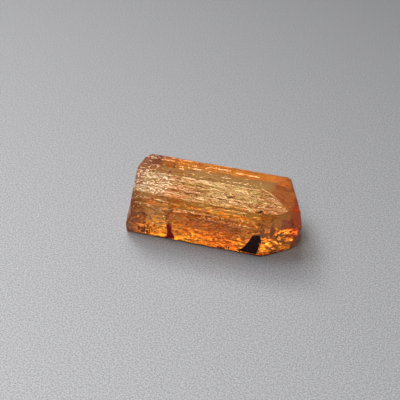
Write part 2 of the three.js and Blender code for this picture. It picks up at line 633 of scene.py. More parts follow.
    def long_face(self, side: Side, x: np.ndarray, across: np.ndarray) -> np.ndarray:
        """Depth of the skin over a long face, before its pits.

        Args:
            side: The face.
            x: Places along the crystal.
            across: Places across the face, from its first corner.

        Returns:
            How deep the skin lies at each place; where it stands proud, below zero.
        """
        face = self.form.profile[side]
        stray = noise(x / self.drift_run, across * self.drift_cells + self.drift_turn * side) - 0.5
        place = across + self.drift * stray
        broad = self.swell.over(side, x, place, creased=False) + self.facets.over(side, x, place, face.run)
        narrow = self.ribs.over(side, x, place, face.run) + self.dashes.over(side, x, place)
        narrow += self.threads.over(side, x, place, face.run)
        ribbed = self.least_ribbed + self.ribbed.over(side, x, across)
        depth = face.facets * (broad + ribbed * narrow)
        etched = self.etched(side, x, across)
        grain = sum(layer.over(side, x, across) for layer in self.etch_grains)
        depth = depth * (1 - self.etch_wears * etched) + self.etch_depth * etched * grain
        depth += self.frost_depth * etched * self.frosting.over(side, x, across)
        knobs, splits = (layer.over(side, x, across) for layer in self.crumbs)
        depth += face.crumb * (knobs * splits)
        depth += self.coarse_grooves(side, x, across)
        if side in (Side.FRONT_TOP, Side.BACK_TOP):
            depth *= 1 - self.level_share * self.level(side, x, across)
        depth -= self.facet_mean * face.facets + self.crumb_mean * face.crumb + self.groove_mean * face.groove
        if side in (Side.FRONT_FOOT, Side.FRONT):
            low, high = self.form.corners()[[side, side + 1], 1]
            z = low + across * (high - low) / across.max()
            for flake in self.flakes:
                depth = np.where(flake.covers(x, z), self.flake_clearance, depth)
        if side in (Side.FRONT, Side.FRONT_SHOULDER):
            depth += self.form.step(x)
        return depth

    def end_face(self, side: Side, u: np.ndarray, v: np.ndarray) -> np.ndarray:
        """Depth of the skin over an end face: low growth hills and a few fine steps.

        Args:
            side: The face.
            u: Places in the face's first direction.
            v: Places in its second direction.

        Returns:
            How deep the skin lies at each place; where it stands proud, below zero.
        """
        skewed = u * self.end_skew[0] + v * self.end_skew[1]
        depth = self.end_hills.over(side, u, v) + self.end_steps.over(side, skewed, v)
        depth = depth + self.end_grain.over(side, u, v) + self.end_fine.over(side, u, v)
        return END_RELIEF[side] * (depth - self.end_mean)

    def pits(self) -> dict[Side, list[Pit]]:
        """Etch pits, thickest near the broken end.

        Returns:
            The pits of each face that has some.
        """
        random = np.random.default_rng(self.pit_seed)
        corners = self.form.corners()
        widths = np.linalg.norm(np.roll(corners, -1, axis=0) - corners, axis=1)
        weights = np.array([face.etch for face in self.form.profile]) * widths
        weights /= weights.sum()
        found = {}
        for _ in range(self.pit_count):
            side = Side(int(random.choice(len(weights), p=weights)))
            x = -self.form.half_length + self.pit_start + self.pit_reach * random.random() ** self.pit_crowd
            size = self.pit_least + self.pit_spread * random.random() ** self.pit_rarity
            across = widths[side] * random.uniform(self.pit_margin, 1 - self.pit_margin)
            length, width, depth = (size * share for share in self.pit_shape)
            found.setdefault(side, []).append(Pit(x, across, length, width, depth))
        return found


# The long faces, the end faces, and how widely the edges between groups of faces are rounded: later rows win.
LONG_SIDES = tuple(Side)[:Side.END_UPPER]
END_SIDES = tuple(Side)[Side.END_UPPER:Side.BREAK]
EDGE_WIDTHS = (
    (tuple(Side), tuple(Side), 0.12),
    ((Side.FRONT,), (Side.FRONT_SHOULDER,), 0.03),
    (END_SIDES, tuple(Side), 0.4),
    ((Side.FRONT_FOOT, Side.FRONT, Side.FRONT_SHOULDER), (Side.END_FRONT,), 1.1),
    ((Side.FRONT_TOP, Side.BACK_TOP), (Side.END_UPPER,), 0.04),
    ((Side.FRONT_TOP, Side.END_UPPER), (Side.END_FRONT,), 0.15),
    ((Side.RESTING,), tuple(Side), 0.6),
    ((Side.BREAK,), tuple(Side), 0.0),
)


@dataclass
class CrystalSkin:
    """Builds the crystal's outer skin as a closed mesh.

    Attributes:
        form: The crystal's form.
        relief: The relief over its faces.
        broken_end: The shape of its broken end.
        ring_step: How far apart the rings of points around the prism are.
        end_step: How far apart the points on the end faces are.
        end_row: How far apart their rows are, as a share of that.
        end_jitter: How far they stray, as a share of that.
        on_face: How close to a plane a point has to be to lie on it.
        wear: How far the edges are worn down.
        wear_patch: How much further they are worn down in patches.
        wear_level: Where the patches of wear start, from 0 to 1.
        wear_edge: How soft their ends are.
        blunt: How sharp an edge has to be for the wear to show in full.
        least_worn: The least share of the wear that a blunt edge has.
        chip_stretch: How an edge chip is stretched along X, Y and Z.
        chip_out: How far outside its corner its middle lies, as a share of its radius.
        core_height: The height from which the chips' corners lie outward.
        normals: The faces' outward normals.
        offsets: How far out along its normal each face lies.
        widths: How widely the edge between each two faces is rounded.
        pits: The etch pits on each face.
    """

    form: Form
    relief: Relief
    broken_end: BrokenEnd
    ring_step: float = 0.125
    end_step: float = 0.13
    end_row: float = 0.87
    end_jitter: float = 0.4
    on_face: float = 2e-4
    wear: float = 0.012
    wear_patch: float = 0.05
    wear_level: float = 0.55
    wear_edge: float = 0.3
    blunt: float = 2.2
    least_worn: float = 0.1
    chip_stretch: Triple = (1.6, 1.0, 1.0)
    chip_out: float = 0.7
    core_height: float = 3.0
    normals: np.ndarray = field(init=False)
    offsets: np.ndarray = field(init=False)
    widths: np.ndarray = field(init=False)
    pits: dict[Side, list[Pit]] = field(init=False)

    def __post_init__(self) -> None:
        """Works out the planes, the widths of the rounded edges and the pits once."""
        self.normals, self.offsets = self.form.planes()
        self.widths = np.zeros((len(Side), len(Side)))
        for some, others, width in EDGE_WIDTHS:
            for side in some:
                self.widths[side, others] = self.widths[others, side] = width
        self.pits = self.relief.pits()

    def axes(self, side: Side) -> tuple[Vector, Vector, Vector]:
        """The directions of a face.

        Args:
            side: The face.

        Returns:
            Its outward normal and two directions in the face.
        """
        normal = Vector(self.normals[side])
        first = normal.cross(Vector((0, 0, 1))).normalized()
        return normal, first, normal.cross(first).normalized()

    def tube(self) -> bmesh.types.BMesh:
        """The uncut prism: strips of quads around it, and a flat end at each side.

        Returns:
            The prism, each face with its side's number.
        """
        corners = self.form.corners()
        outline, sides = [], []
        for side, (start, end) in enumerate(zip(corners, np.roll(corners, -1, axis=0))):
            strips = self.form.profile[side].strips
            for strip in range(strips):
                outline.append(start + (end - start) * strip / strips)
                sides.append(side)
        outline = np.array(outline)
        count = len(outline)
        low, high = -self.form.half_length, self.form.half_length + self.form.overrun
        stations = np.linspace(low, high, round((high - low) / self.ring_step) + 1)
        points = np.empty((len(stations), count, 3))
        points[:, :, 0] = stations[:, None]
        points[:, :, 1:] = outline[None]
        quads, quad_sides = [], []
        for ring in range(len(stations) - 1):
            for column in range(count):
                a = ring * count + column
                b = ring * count + (column + 1) % count
                quads.append((a, a + count, b + count, b))
                quad_sides.append(sides[column])
        last = (len(stations) - 1) * count
        quads.append(tuple(range(count)))
        quads.append(tuple(range(last + count - 1, last - 1, -1)))
        quad_sides += [int(Side.BREAK), int(Side.END_UPPER)]
        mesh = bpy.data.meshes.new("tube")
        mesh.from_pydata(points.reshape(-1, 3).tolist(), [], quads)
        shell = bmesh.new()
        shell.from_mesh(mesh)
        bpy.data.meshes.remove(mesh)
        layer = shell.faces.layers.int.new("side")
        for face, side in zip(shell.faces, quad_sides):
            face[layer] = side
        return shell

    def cut_ends(self, shell: bmesh.types.BMesh) -> None:
        """Cuts the end faces and closes each cut with one flat face.

        Args:
            shell: The uncut prism.
        """
        layer = shell.faces.layers.int["side"]
        for side in END_SIDES:
            geometry = [*shell.verts, *shell.edges, *shell.faces]
            normal = Vector(self.normals[side])
            made = bmesh.ops.bisect_plane(
                shell, geom=geometry, dist=1e-6, plane_co=normal * self.offsets[side],
                plane_no=normal, clear_outer=True,
            )
            rim = [item for item in made["geom_cut"] if isinstance(item, bmesh.types.BMEdge)]
            for face in bmesh.ops.contextual_create(shell, geom=rim)["faces"]:
                face[layer] = int(side)

    def split_rims(self, shell: bmesh.types.BMesh) -> None:
        """Splits the long straight edges between the end faces into short ones.

        Args:
            shell: The cut prism.
        """
        for edge in [edge for edge in shell.edges if edge.calc_length() > 2 * self.end_step]:
            parts = math.ceil(edge.calc_length() / self.end_step)
            start = edge.verts[0]
            for left in range(parts, 1, -1):
                _, start = bmesh.utils.edge_split(edge, start, 1 / left)

    def end_places(self, shape: np.ndarray) -> list[Vector]:
        """Uneven rows of places inside the outline of an end, clear of the outline itself.

        Args:
            shape: The outline's points, in the end's plane.

        Returns:
            The places.
        """
        step, jitter = self.end_step, self.end_jitter
        low, high = shape.min(axis=0), shape.max(axis=0)
        heights = np.arange(low[1], high[1], step * self.end_row)
        across, up = np.meshgrid(np.arange(low[0], high[0], step), heights)
        rows = np.arange(across.shape[0])[:, None]
        across = across + step * (0.5 * (rows % 2) + jitter * (scatter(across * 91, up * 57) - 0.5))
        up = up + step * jitter * (scatter(up * 83, across * 47) - 0.5)
        inner = np.column_stack([across.ravel(), up.ravel()])
        apart = np.hypot(inner[:, None, 0] - shape[None, :, 0], inner[:, None, 1] - shape[None, :, 1])
        return [Vector(point) for point in inner[apart.min(axis=1) > 0.5 * step].tolist()]

    def fill_end(self, shell: bmesh.types.BMesh, side: Side) -> None:
        """Fills one flat end with small triangles that share the points of its rim.

        Args:
            shell: The cut prism.
            side: The end face or the break.
        """
        layer = shell.faces.layers.int["side"]
        flat = next(face for face in shell.faces if face[layer] == side)
        normal, first, second = self.axes(side)
        rim = list(flat.verts)
        outline = [Vector((first.dot(vert.co), second.dot(vert.co))) for vert in rim]
        places = outline + self.end_places(np.array(outline))
        made = delaunay_2d_cdt(places, [], [list(range(len(rim)))], 1, 1e-7)
        origin = normal * self.offsets[side]
        corners = {}
        for index in sorted({index for triangle in made[2] for index in triangle}):
            place = made[0][index]
            known = [source for source in made[3][index] if source < len(rim)]
            if known:
                corners[index] = rim[known[0]]
            else:
                corners[index] = shell.verts.new(origin + first * place.x + second * place.y)
        shell.faces.remove(flat)
        for triangle in made[2]:
            face = shell.faces.new([corners[index] for index in triangle])
            face[layer] = int(side)

    def round_edges(self, points: np.ndarray, gaps: np.ndarray) -> np.ndarray:
        """How far each point moves in where it is close to an edge.

        Args:
            points: Points on the plain form.
            gaps: How far each of them lies inside each plane.

        Returns:
            The move of each point.
        """
        nearest = gaps.argmin(axis=1)
        reach = self.widths[nearest]
        share = np.clip(1 - gaps / np.maximum(reach, 1e-9), 0, 1)
        rows = np.arange(len(points))
        share[rows, nearest] = 0
        second = (share * reach).argmax(axis=1)
        width, close = reach[rows, second], share[rows, second]
        toward = self.normals[nearest] + close[:, None] * self.normals[second]
        toward /= np.linalg.norm(toward, axis=1)[:, None]
        return -toward * (width * close**2 / 4)[:, None]

    def face_depth(self, side: Side, here: np.ndarray) -> np.ndarray:
        """How deep the skin lies under one of the planes.

        Args:
            side: The plane's face.
            here: Points on that plane.

        Returns:
            The depth at each point.
        """
        if side == Side.RESTING:
            return np.zeros(len(here))
        if side not in LONG_SIDES:
            _, first, second = self.axes(side)
            return self.relief.end_face(side, here @ np.array(first), here @ np.array(second))
        corners = self.form.corners()
        along = np.roll(corners, -1, axis=0)[side] - corners[side]
        along /= np.linalg.norm(along)
        across = (here[:, 1:] - corners[side]) @ along
        depth = self.relief.long_face(side, here[:, 0], across)
        for pit in self.pits.get(side, ()):
            near = np.abs(here[:, 0] - pit.x) / pit.length + np.abs(across - pit.across) / pit.width
            depth += pit.depth * np.clip(1 - near, 0, 1)
        return depth

    def sink(self, points: np.ndarray) -> np.ndarray:
        """Sinks the relief into the plain form and wears its edges down.

        Args:
            points: Points on the plain form.

        Returns:
            Where they move to.
        """
        gaps = self.offsets - points @ self.normals.T
        on = gaps < self.on_face
        count = on.sum(axis=1)
        slant = np.sqrt(np.clip(1 - (self.normals @ self.normals.T) ** 2, 1e-4, 1))
        others = np.where(on, np.inf, gaps / slant[gaps.argmin(axis=1)])
        fade = ease(others.min(axis=1) / self.relief.edge_fade)
        moved = points.copy()
        for side in (*LONG_SIDES, *END_SIDES):
            picked = on[:, side] & (count == 1)
            depth = self.face_depth(side, points[picked])
            moved[picked] -= self.normals[side] * (depth * fade[picked])[:, None]
        worn = (count >= 2) & ~on[:, Side.RESTING]
        inward = -(on[worn] @ self.normals)
        length = np.linalg.norm(inward, axis=1)
        inward /= length[:, None]
        here = points[worn]
        patches = noise(here[:, 0] * 1.9, here[:, 1] + here[:, 2] * 1.3) - self.wear_level
        wear = self.wear + self.wear_patch * ease(patches / self.wear_edge)
        wear *= np.clip(self.blunt - length, self.least_worn, 1)
        moved[worn] += inward * wear[:, None]
        return moved + self.round_edges(points, gaps)

    def bite(self, points: np.ndarray) -> np.ndarray:
        """Pushes the skin in where a chip is gone from an edge.

        Args:
            points: The skin's points.

        Returns:
            The same points, moved.
        """
        stretch = np.array(self.chip_stretch)
        for chip in self.relief.edge_chips:
            corner = self.form.corners()[chip.corner]
            out = np.array([corner[0], corner[1] - self.core_height])
            out /= np.linalg.norm(out)
            centre = np.array([chip.x, *(corner + out * chip.radius * self.chip_out)])
            away = (points - centre) / stretch
            distance = np.linalg.norm(away, axis=1)
            inside = distance < chip.radius
            scale = chip.radius / np.maximum(distance[inside], 1e-6)
            points[inside] = centre + away[inside] * scale[:, None] * stretch
        return points

    def build(self) -> bpy.types.Mesh:
        """The finished skin.

        Returns:
            A closed mesh in metres, with its faces pointing out.
        """
        shell = self.tube()
        self.cut_ends(shell)
        self.split_rims(shell)
        for side in (*END_SIDES, Side.BREAK):
            self.fill_end(shell, side)
        bmesh.ops.triangulate(shell, faces=[face for face in shell.faces if len(face.verts) > 4])
        bmesh.ops.recalc_face_normals(shell, faces=shell.faces)
        mesh = bpy.data.meshes.new("crystal_skin")
        shell.to_mesh(mesh)
        shell.free()
        points = np.empty(len(mesh.vertices) * 3)
        mesh.vertices.foreach_get("co", points)
        moved = self.bite(self.sink(points.reshape(-1, 3)))
        moved[:, 0] += self.broken_end.shift(moved)
        mesh.vertices.foreach_set("co", (moved * MM).ravel())
        mesh.update()
        return mesh


# ---------------------------------------------------------------- what lies inside the crystal


Shape = tuple[list, list]


def ring_shape(rings: list[np.ndarray]) -> Shape:
    """A closed shape from equal rings of points, with a flat cap at each end.

    Args:
        rings: The rings in order, each with as many points as the first.

    Returns:
        The points, and the faces pointing out for rings that run round their own forward direction.
    """
    count = len(rings[0])
    points = [tuple(point) for ring in rings for point in ring]
    faces = []
    for ring in range(len(rings) - 1):
        for corner in range(count):
            a, b = ring * count + corner, ring * count + (corner + 1) % count
            faces.append((a, b, b + count, a + count))
    faces.append(tuple(range(count - 1, -1, -1)))
    last = (len(rings) - 1) * count
    faces.append(tuple(range(last, last + count)))
    return points, faces


def put_shapes(shapes: list[Shape]) -> bmesh.types.BMesh:
    """Puts closed shapes in millimetres together into one mesh in metres.

    Args:
        shapes: The points and faces of each shape.

    Returns:
        The mesh, with its faces as they were given.
    """
    made = bmesh.new()
    for points, faces in shapes:
        verts = [made.verts.new(Vector(point) * MM) for point in points]
        for face in faces:
            made.faces.new([verts[index] for index in face])
    return made


def split_faces(mesh: bmesh.types.BMesh) -> None:
    """Splits the faces that have more than four corners into triangles."""
    bmesh.ops.triangulate(mesh, faces=[face for face in mesh.faces if len(face.verts) > 4])


@dataclass(frozen=True)
class Crack:
    """A thin gap inside the crystal.

    Attributes:
        centre: Its middle.
        normal: The direction across it.
        reach: Its half length and half height.
        opening: How wide it gapes in the middle.
        ragged: How uneven its rim is, from 0 to 1.
    """

    centre: Triple
    normal: Triple
    reach: tuple[float, float]
    opening: float = 0.012
    ragged: float = 0.3

    def rings(self, corners: int, steps: tuple[float, ...]) -> list[np.ndarray]:
        """Rings from its middle on one side, out to the rim and back to its middle on the other side.

        Args:
            corners: How many corners its rim has.
            steps: How far out the rings between the middle and the rim are, from 0 to 1.

        Returns:
            The rings in order.
        """
        across = np.array(self.normal) / np.linalg.norm(self.normal)
        helper = np.array([0.0, 0.0, 1.0]) if abs(across[2]) < 0.9 else np.array([1.0, 0.0, 0.0])
        first = np.cross(helper, across)
        first /= np.linalg.norm(first)
        second = np.cross(across, first)
        angle = np.linspace(0, 2 * math.pi, corners, endpoint=False)
        seed = self.centre[0] * 3.7 + self.centre[1] * 5.3
        rim = 1 + self.ragged * (2 * noise(angle * 1.6 + seed, np.full(corners, seed)) - 1.0)
        rim *= 1 + 0.5 * self.ragged * (scatter(np.arange(corners), np.full(corners, round(seed * 10))) - 0.5)
        found = []
        stations = [*((step, -1) for step in steps), (1.0, 0), *((step, 1) for step in reversed(steps))]
        for share, side in stations:
            gap = 0.5 * self.opening * side * (1 - share**2)
            flat = (rim * share * np.cos(angle) * self.reach[0])[:, None] * first
            flat = flat + (rim * share * np.sin(angle) * self.reach[1])[:, None] * second
            found.append(np.array(self.centre) + flat + across * gap)
        return found


@dataclass(frozen=True)
class Flake:
    """A dark flake that comes out flush with the front faces.

    Attributes:
        name: Its piece's name.
        colour: Its colour.
        thickness: How thick it is.
        outline: Its corners as (x, z).
        roughness: How matt it is.
        grid: How far apart the points inside its outline are.
        grid_x: From where to where the grid of those points reaches along X.
        grid_z: From where to where it reaches along Z.
    """

    name: str
    colour: Triple
    thickness: float
    outline: tuple[tuple[float, float], ...]
    roughness: float = 0.45
    grid: float = 0.2
    grid_x: tuple[float, float] = (-6.0, 7.0)
    grid_z: tuple[float, float] = (0.1, 4.0)

    def covers(self, x: np.ndarray, z: np.ndarray) -> np.ndarray:
        """Which places lie inside the outline.

        Args:
            x: Places along the crystal.
            z: How high they are.

        Returns:
            True for each place inside.
        """
        inside = np.zeros(len(x), bool)
        for (x1, z1), (x2, z2) in zip(self.outline, self.outline[1:] + self.outline[:1]):
            crossing = x1 + (z - z1) / (z2 - z1) * (x2 - x1) if z1 != z2 else x
            inside ^= ((z1 > z) != (z2 > z)) & (x < crossing)
        return inside

    def build(self, skin: CrystalSkin) -> bpy.types.Object:
        """Builds the flake as a closed slab that follows the front faces.

        Args:
            skin: The crystal's skin.

        Returns:
            The registered piece.
        """
        corners = skin.form.corners()
        order = [Side.FRONT_FOOT, Side.FRONT, Side.FRONT_SHOULDER, Side.FRONT_TOP]
        foot = corners[Side.FRONT, 1]
        heights = np.append(np.arange(*self.grid_z, self.grid), foot)
        x, z = np.meshgrid(np.arange(*self.grid_x, self.grid), heights)
        places = [Vector(place) for place in self.outline] + [Vector(p) for p in zip(x.ravel(), z.ravel())]
        flat, _, triangles, *_ = delaunay_2d_cdt(places, [], [list(range(len(self.outline)))], 1, 1e-6)
        used = sorted({index for triangle in triangles for index in triangle})
        new = {index: place for place, index in enumerate(used)}
        flat = np.array([flat[index] for index in used])
        y = np.interp(flat[:, 1], corners[order, 1], corners[order, 0])
        y += np.where(flat[:, 1] > foot, skin.form.step(flat[:, 0]), 0)
        front = np.column_stack([flat[:, 0], y, flat[:, 1]])
        front += skin.round_edges(front, skin.offsets - front @ skin.normals.T)
        back = front + (0.0, self.thickness, 0.0)
        count = len(front)
        faces = [tuple(new[index] for index in triangle) for triangle in triangles]
        edges = {(face[k], face[(k + 1) % 3]) for face in faces for k in range(3)}
        walls = [(b, a, a + count, b + count) for a, b in edges if (b, a) not in edges]
        backs = [tuple(index + count for index in reversed(face)) for face in faces]
        points = [tuple(point) for point in np.vstack([front, back])]
        finish = InclusionFinish(self.name, self.colour, self.roughness)
        return Piece(self.name, [(points, faces + backs + walls)], finish.build()).build()


@dataclass
class Piece:
    """A piece that rides on the crystal's body.

    Attributes:
        name: Its name.
        shapes: Its closed shapes, in millimetres.
        material: Its one material.
    """

    name: str
    shapes: list[Shape]
    material: bpy.types.Material

    def build(self) -> bpy.types.Object:
        """Joins the shapes into one mesh and registers it.

        Returns:
            The registered piece.
        """
        joined = put_shapes(self.shapes)
        split_faces(joined)
        bmesh.ops.recalc_face_normals(joined, faces=joined.faces)
        mesh = bpy.data.meshes.new(self.name)
        joined.to_mesh(mesh)
        joined.free()
        mesh.materials.append(self.material)
        piece = bpy.data.objects.new(self.name, mesh)
        bpy.context.collection.objects.link(piece)
        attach(piece, "root")
        return piece


@dataclass(frozen=True)
class Speck:
    """A small dark grain or a short dark line.

    Attributes:
        centre: Its middle.
        half: Its half lengths along X, Y and Z.
        tilt: Degrees by which its length is tilted up.
    """

    centre: Triple
    half: Triple
    tilt: float = 0.0

    def settled(self, form: Form) -> "Speck":
        """The same grain, moved so that it just comes out at the long or end face nearest to it.

        Args:
            form: The crystal's form.

        Returns:
            The moved grain.
        """
        normals, offsets = form.planes()
        gaps = offsets - normals @ np.array(self.centre)
        nearest = gaps.argmin()
        moved = np.array(self.centre) + normals[nearest] * (gaps[nearest] - 0.5 * self.half[2])
        return Speck(tuple(moved.tolist()), self.half, self.tilt)

    def shape(self) -> Shape:
        """An angular grain.

        Returns:
            Its points and faces.
        """
        turn = math.radians(self.tilt)
        rings = []
        for step, (along, share) in enumerate(((-1, 0.25), (-0.55, 0.85), (0.1, 1.0), (0.65, 0.7), (1, 0.2))):
            ring = []
            for corner in range(6):
                angle = math.pi * corner / 3 + 0.4 * step
                uneven = float(scatter(np.array(corner + self.centre[0]), np.array(step)))
                size = share * (0.75 + 0.5 * uneven)
                x = along * self.half[0]
                y, z = math.cos(angle) * size * self.half[1], math.sin(angle) * size * self.half[2]
                x, z = x * math.cos(turn) - z * math.sin(turn), x * math.sin(turn) + z * math.cos(turn)
                ring.append(np.array(self.centre) + (x, y, z))
            rings.append(np.array(ring))
        return ring_shape(rings)


@dataclass
class Interior:
    """Everything inside the crystal: cracks, glinting discs, flakes and specks.

    Attributes:
        form: The crystal's form.
        disc_seed: The seed of the discs' places and sizes.
        disc_count: How many discs there are.
        disc_box: From where to where they lie along X, Y and Z.
        disc_depth: How deep under the faces they start.
        crowd_under: How fast they thin out below the top.
        crowd_front: Where the front is, across the crystal.
        crowd_behind: How fast they thin out behind it.
        crowd_x: Where along the crystal they are thickest.
        crowd_reach: How far from there they stay thick.
        crowd_end: How much thicker they are at the front of the faced end.
        crowd_least: How thick they are where they are thinnest.
        disc_tilt: How far those that lie anyhow turn.
        disc_upright: The share of them that stands across the crystal.
        disc_least: The radius of the smallest.
        disc_spread: How much larger the largest is.
        disc_narrowest: The width of the narrowest, as a share of its length.
        disc_opening: How wide they gape.
        disc_ragged: How uneven their rims are, from 0 to 1.
        speck_seed: The seed of the strewn specks.
        speck_count: How many specks there are, with the placed ones.
        speck_box: From where to where the strewn ones lie along X and Y.
        speck_x: Where along the crystal they are thickest.
        speck_reach: How far from there they stay thick.
        speck_rest: How thick they are elsewhere, beside that.
        speck_length: The length of the longest, as a share of its width.
        speck_height: How high they are, as a share of their width.
        speck_least: The size of the smallest strewn speck.
        speck_spread: How much larger the largest is.
        speck_tilt: The most that one is tilted, in degrees.
        speck_finish: The specks' material.
        cracks: The cleavage cracks.
        flakes: The two dark flakes at the lower front.
        placed: The specks that have their own places.
    """

    form: Form
    disc_seed: int = 5
    disc_count: int = 560
    disc_box: tuple[tuple[float, float], ...] = ((-9.5, 9.0), (-4.0, 3.4), (0.6, 6.0))
    disc_depth: float = 0.3
    crowd_under: float = 1.3
    crowd_front: float = -4.3
    crowd_behind: float = 0.9
    crowd_x: float = 0.5
    crowd_reach: float = 5.5
    crowd_end: float = 1.2
    crowd_least: float = 0.35
    disc_tilt: float = 0.5
    disc_upright: float = 0.45
    disc_least: float = 0.05
    disc_spread: float = 0.16
    disc_narrowest: float = 0.35
    disc_opening: float = 0.006
    disc_ragged: float = 0.35
    speck_seed: int = 23
    speck_count: int = 130
    speck_box: tuple[tuple[float, float], ...] = ((-9.8, 8.5), (-4.2, 3.5))
    speck_x: float = -5.0
    speck_reach: float = 4.0
    speck_rest: float = 0.3
    speck_length: float = 2.6
    speck_height: float = 0.8
    speck_least: float = 0.035
    speck_spread: float = 0.07
    speck_tilt: float = 30.0
    speck_finish: "InclusionFinish" = field(
        default_factory=lambda: InclusionFinish("dark_speck", (0.09, 0.022, 0.008), 0.6))
    cracks: tuple[Crack, ...] = (
        Crack((-5.5, -3.2, 3.7), (1.0, 0.05, 0.04), (1.0, 1.35), 0.02),
        Crack((-5.3, -3.9, 1.6), (1.0, -0.1, 0.0), (0.5, 0.9), 0.015),
        Crack((-7.85, -4.1, 0.95), (1.0, 0.03, 0.0), (0.42, 0.75), 0.01),
        Crack((-8.15, -4.1, 0.85), (1.0, 0.0, 0.03), (0.42, 0.7), 0.01),
        Crack((-8.5, -4.05, 0.95), (1.0, 0.02, 0.0), (0.45, 0.75), 0.01),
        Crack((-8.8, -4.1, 0.8), (1.0, 0.0, -0.02), (0.4, 0.6), 0.01),
        Crack((-9.1, -4.1, 0.9), (1.0, 0.04, 0.0), (0.4, 0.65), 0.01),
        Crack((6.15, -3.3, 3.6), (1.0, 0.02, 0.05), (0.75, 1.1), 0.015),
        Crack((7.2, -2.6, 3.2), (1.0, -0.05, 0.0), (0.7, 1.0), 0.012),
        Crack((8.6, -1.3, 3.4), (0.7, -0.6, 0.3), (0.9, 0.8), 0.012, 0.5),
    )
    flakes: tuple[Flake, ...] = (
        Flake("dark_flake", (0.022, 0.004, 0.006), 0.4, (
            (3.61, 0.42), (3.95, 0.72), (4.3, 1.1), (4.72, 1.85), (5.05, 2.45), (5.32, 3.12), (5.46, 3.3),
            (5.62, 3.2), (5.85, 3.28), (6.1, 3.3), (6.3, 3.0), (6.51, 2.42), (6.38, 1.9), (6.2, 1.35),
            (6.12, 0.8), (5.95, 0.36), (5.7, 0.28), (5.5, 0.42), (5.25, 0.22), (5.0, 0.38), (4.75, 0.45),
            (4.45, 0.3), (4.1, 0.44), (3.85, 0.33),
        )),
        Flake("maroon_flake", (0.27, 0.008, 0.007), 0.3, (
            (-5.5, 2.44), (-5.25, 2.6), (-5.02, 2.48), (-4.95, 2.1), (-4.93, 1.75), (-4.88, 1.3),
            (-4.7, 1.0), (-4.55, 0.75), (-4.62, 0.28), (-5.1, 0.2), (-5.65, 0.14), (-5.72, 0.4),
            (-5.52, 0.9), (-5.46, 1.4), (-5.42, 1.8), (-5.5, 2.1),
        )),
    )
    placed: tuple[Speck, ...] = (
        Speck((5.87, -2.95, 5.55), (0.38, 0.30, 0.22), 42),
        Speck((9.5, -2.0, 2.95), (0.15, 0.12, 0.14)),
        Speck((9.75, -1.95, 3.95), (0.16, 0.12, 0.18)),
        Speck((-10.0, 3.2, 5.6), (0.16, 0.14, 0.1)),
        Speck((-6.73, 1.03, 6.05), (0.18, 0.14, 0.08)),
        Speck((-6.33, -2.95, 5.4), (0.16, 0.12, 0.08)),
        Speck((-2.67, -2.8, 5.55), (0.34, 0.13, 0.06), 8),
        Speck((-2.28, -2.3, 5.7), (0.22, 0.1, 0.06)),
        Speck((-0.6, -2.1, 5.72), (0.8, 0.1, 0.06), 1),
        Speck((0.9, -2.15, 5.7), (0.75, 0.1, 0.06), -1),
        Speck((1.7, -1.6, 5.8), (0.45, 0.09, 0.06), -1),
        Speck((-6.33, -3.35, 4.9), (0.16, 0.12, 0.1)),
        Speck((-7.57, -3.25, 5.05), (0.16, 0.1, 0.1)),
        Speck((-8.4, -4.1, 3.5), (0.5, 0.07, 0.09), -30),
        Speck((-5.0, -3.85, 4.25), (0.42, 0.08, 0.08), 12),
        Speck((-2.97, -4.2, 3.05), (0.14, 0.08, 0.12)),
        Speck((0.0, -3.75, 4.35), (0.26, 0.08, 0.08), 15),
        Speck((1.4, -4.4, 0.45), (0.46, 0.06, 0.07), 8),
        Speck((2.3, -4.4, 0.62), (0.44, 0.06, 0.07), 22),
        Speck((7.65, -3.3, 3.8), (0.18, 0.1, 0.1)),
        Speck((7.9, -3.1, 2.7), (0.22, 0.07, 0.07), 5),
        Speck((-5.55, -4.5, 3.25), (0.95, 0.05, 0.05), 93),
        Speck((-7.8, -4.5, 0.9), (0.5, 0.045, 0.045), 91),
        Speck((-8.1, -4.5, 0.8), (0.55, 0.045, 0.045), 89),
        Speck((-8.45, -4.5, 0.95), (0.6, 0.045, 0.045), 90),
        Speck((-8.8, -4.5, 0.85), (0.45, 0.045, 0.045), 92),
        Speck((-9.15, -4.5, 0.9), (0.55, 0.045, 0.045), 88),
    )

    def crowding(self, x: float, y: float, z: float) -> float:
        """How likely a disc is at a place: most under the top's middle and behind the front.

        Args:
            x: The place along the crystal.
            y: The place across it.
            z: How high the place is.

        Returns:
            The likelihood; anything over 1 is certain.
        """
        under_top = math.exp(-(self.form.roof(y) - z) / self.crowd_under)
        behind_front = math.exp(-(y - self.crowd_front) / self.crowd_behind)
        middle = math.exp(-(((x - self.crowd_x) / self.crowd_reach) ** 2))
        faced_end = self.crowd_end if x > self.crowd_reach and y < -1.0 else 0.0
        along = self.crowd_least + (1 - self.crowd_least) * (middle + faced_end)
        return (under_top + behind_front) * along

    def discs(self) -> list[Crack]:
        """Tiny flat gaps that glint, thickest under the streaked part of the top.

        Returns:
            The gaps.
        """
        random = np.random.default_rng(self.disc_seed)
        normals, offsets = self.form.planes()
        found = []
        while len(found) < self.disc_count:
            x, y, z = (random.uniform(low, high) for low, high in self.disc_box)
            if (offsets - normals @ np.array((x, y, z))).min() < self.disc_depth:
                continue
            if random.random() > self.crowding(x, y, z):
                continue
            tilt = random.normal(0, self.disc_tilt, 3)
            normal = (1.0, tilt[1], tilt[2]) if random.random() < self.disc_upright else tuple(tilt)
            size = self.disc_least + self.disc_spread * random.random() ** 2
            reach = (size, size * random.uniform(self.disc_narrowest, 1.0))
            found.append(Crack((x, y, z), normal, reach, self.disc_opening, self.disc_ragged))
        return found

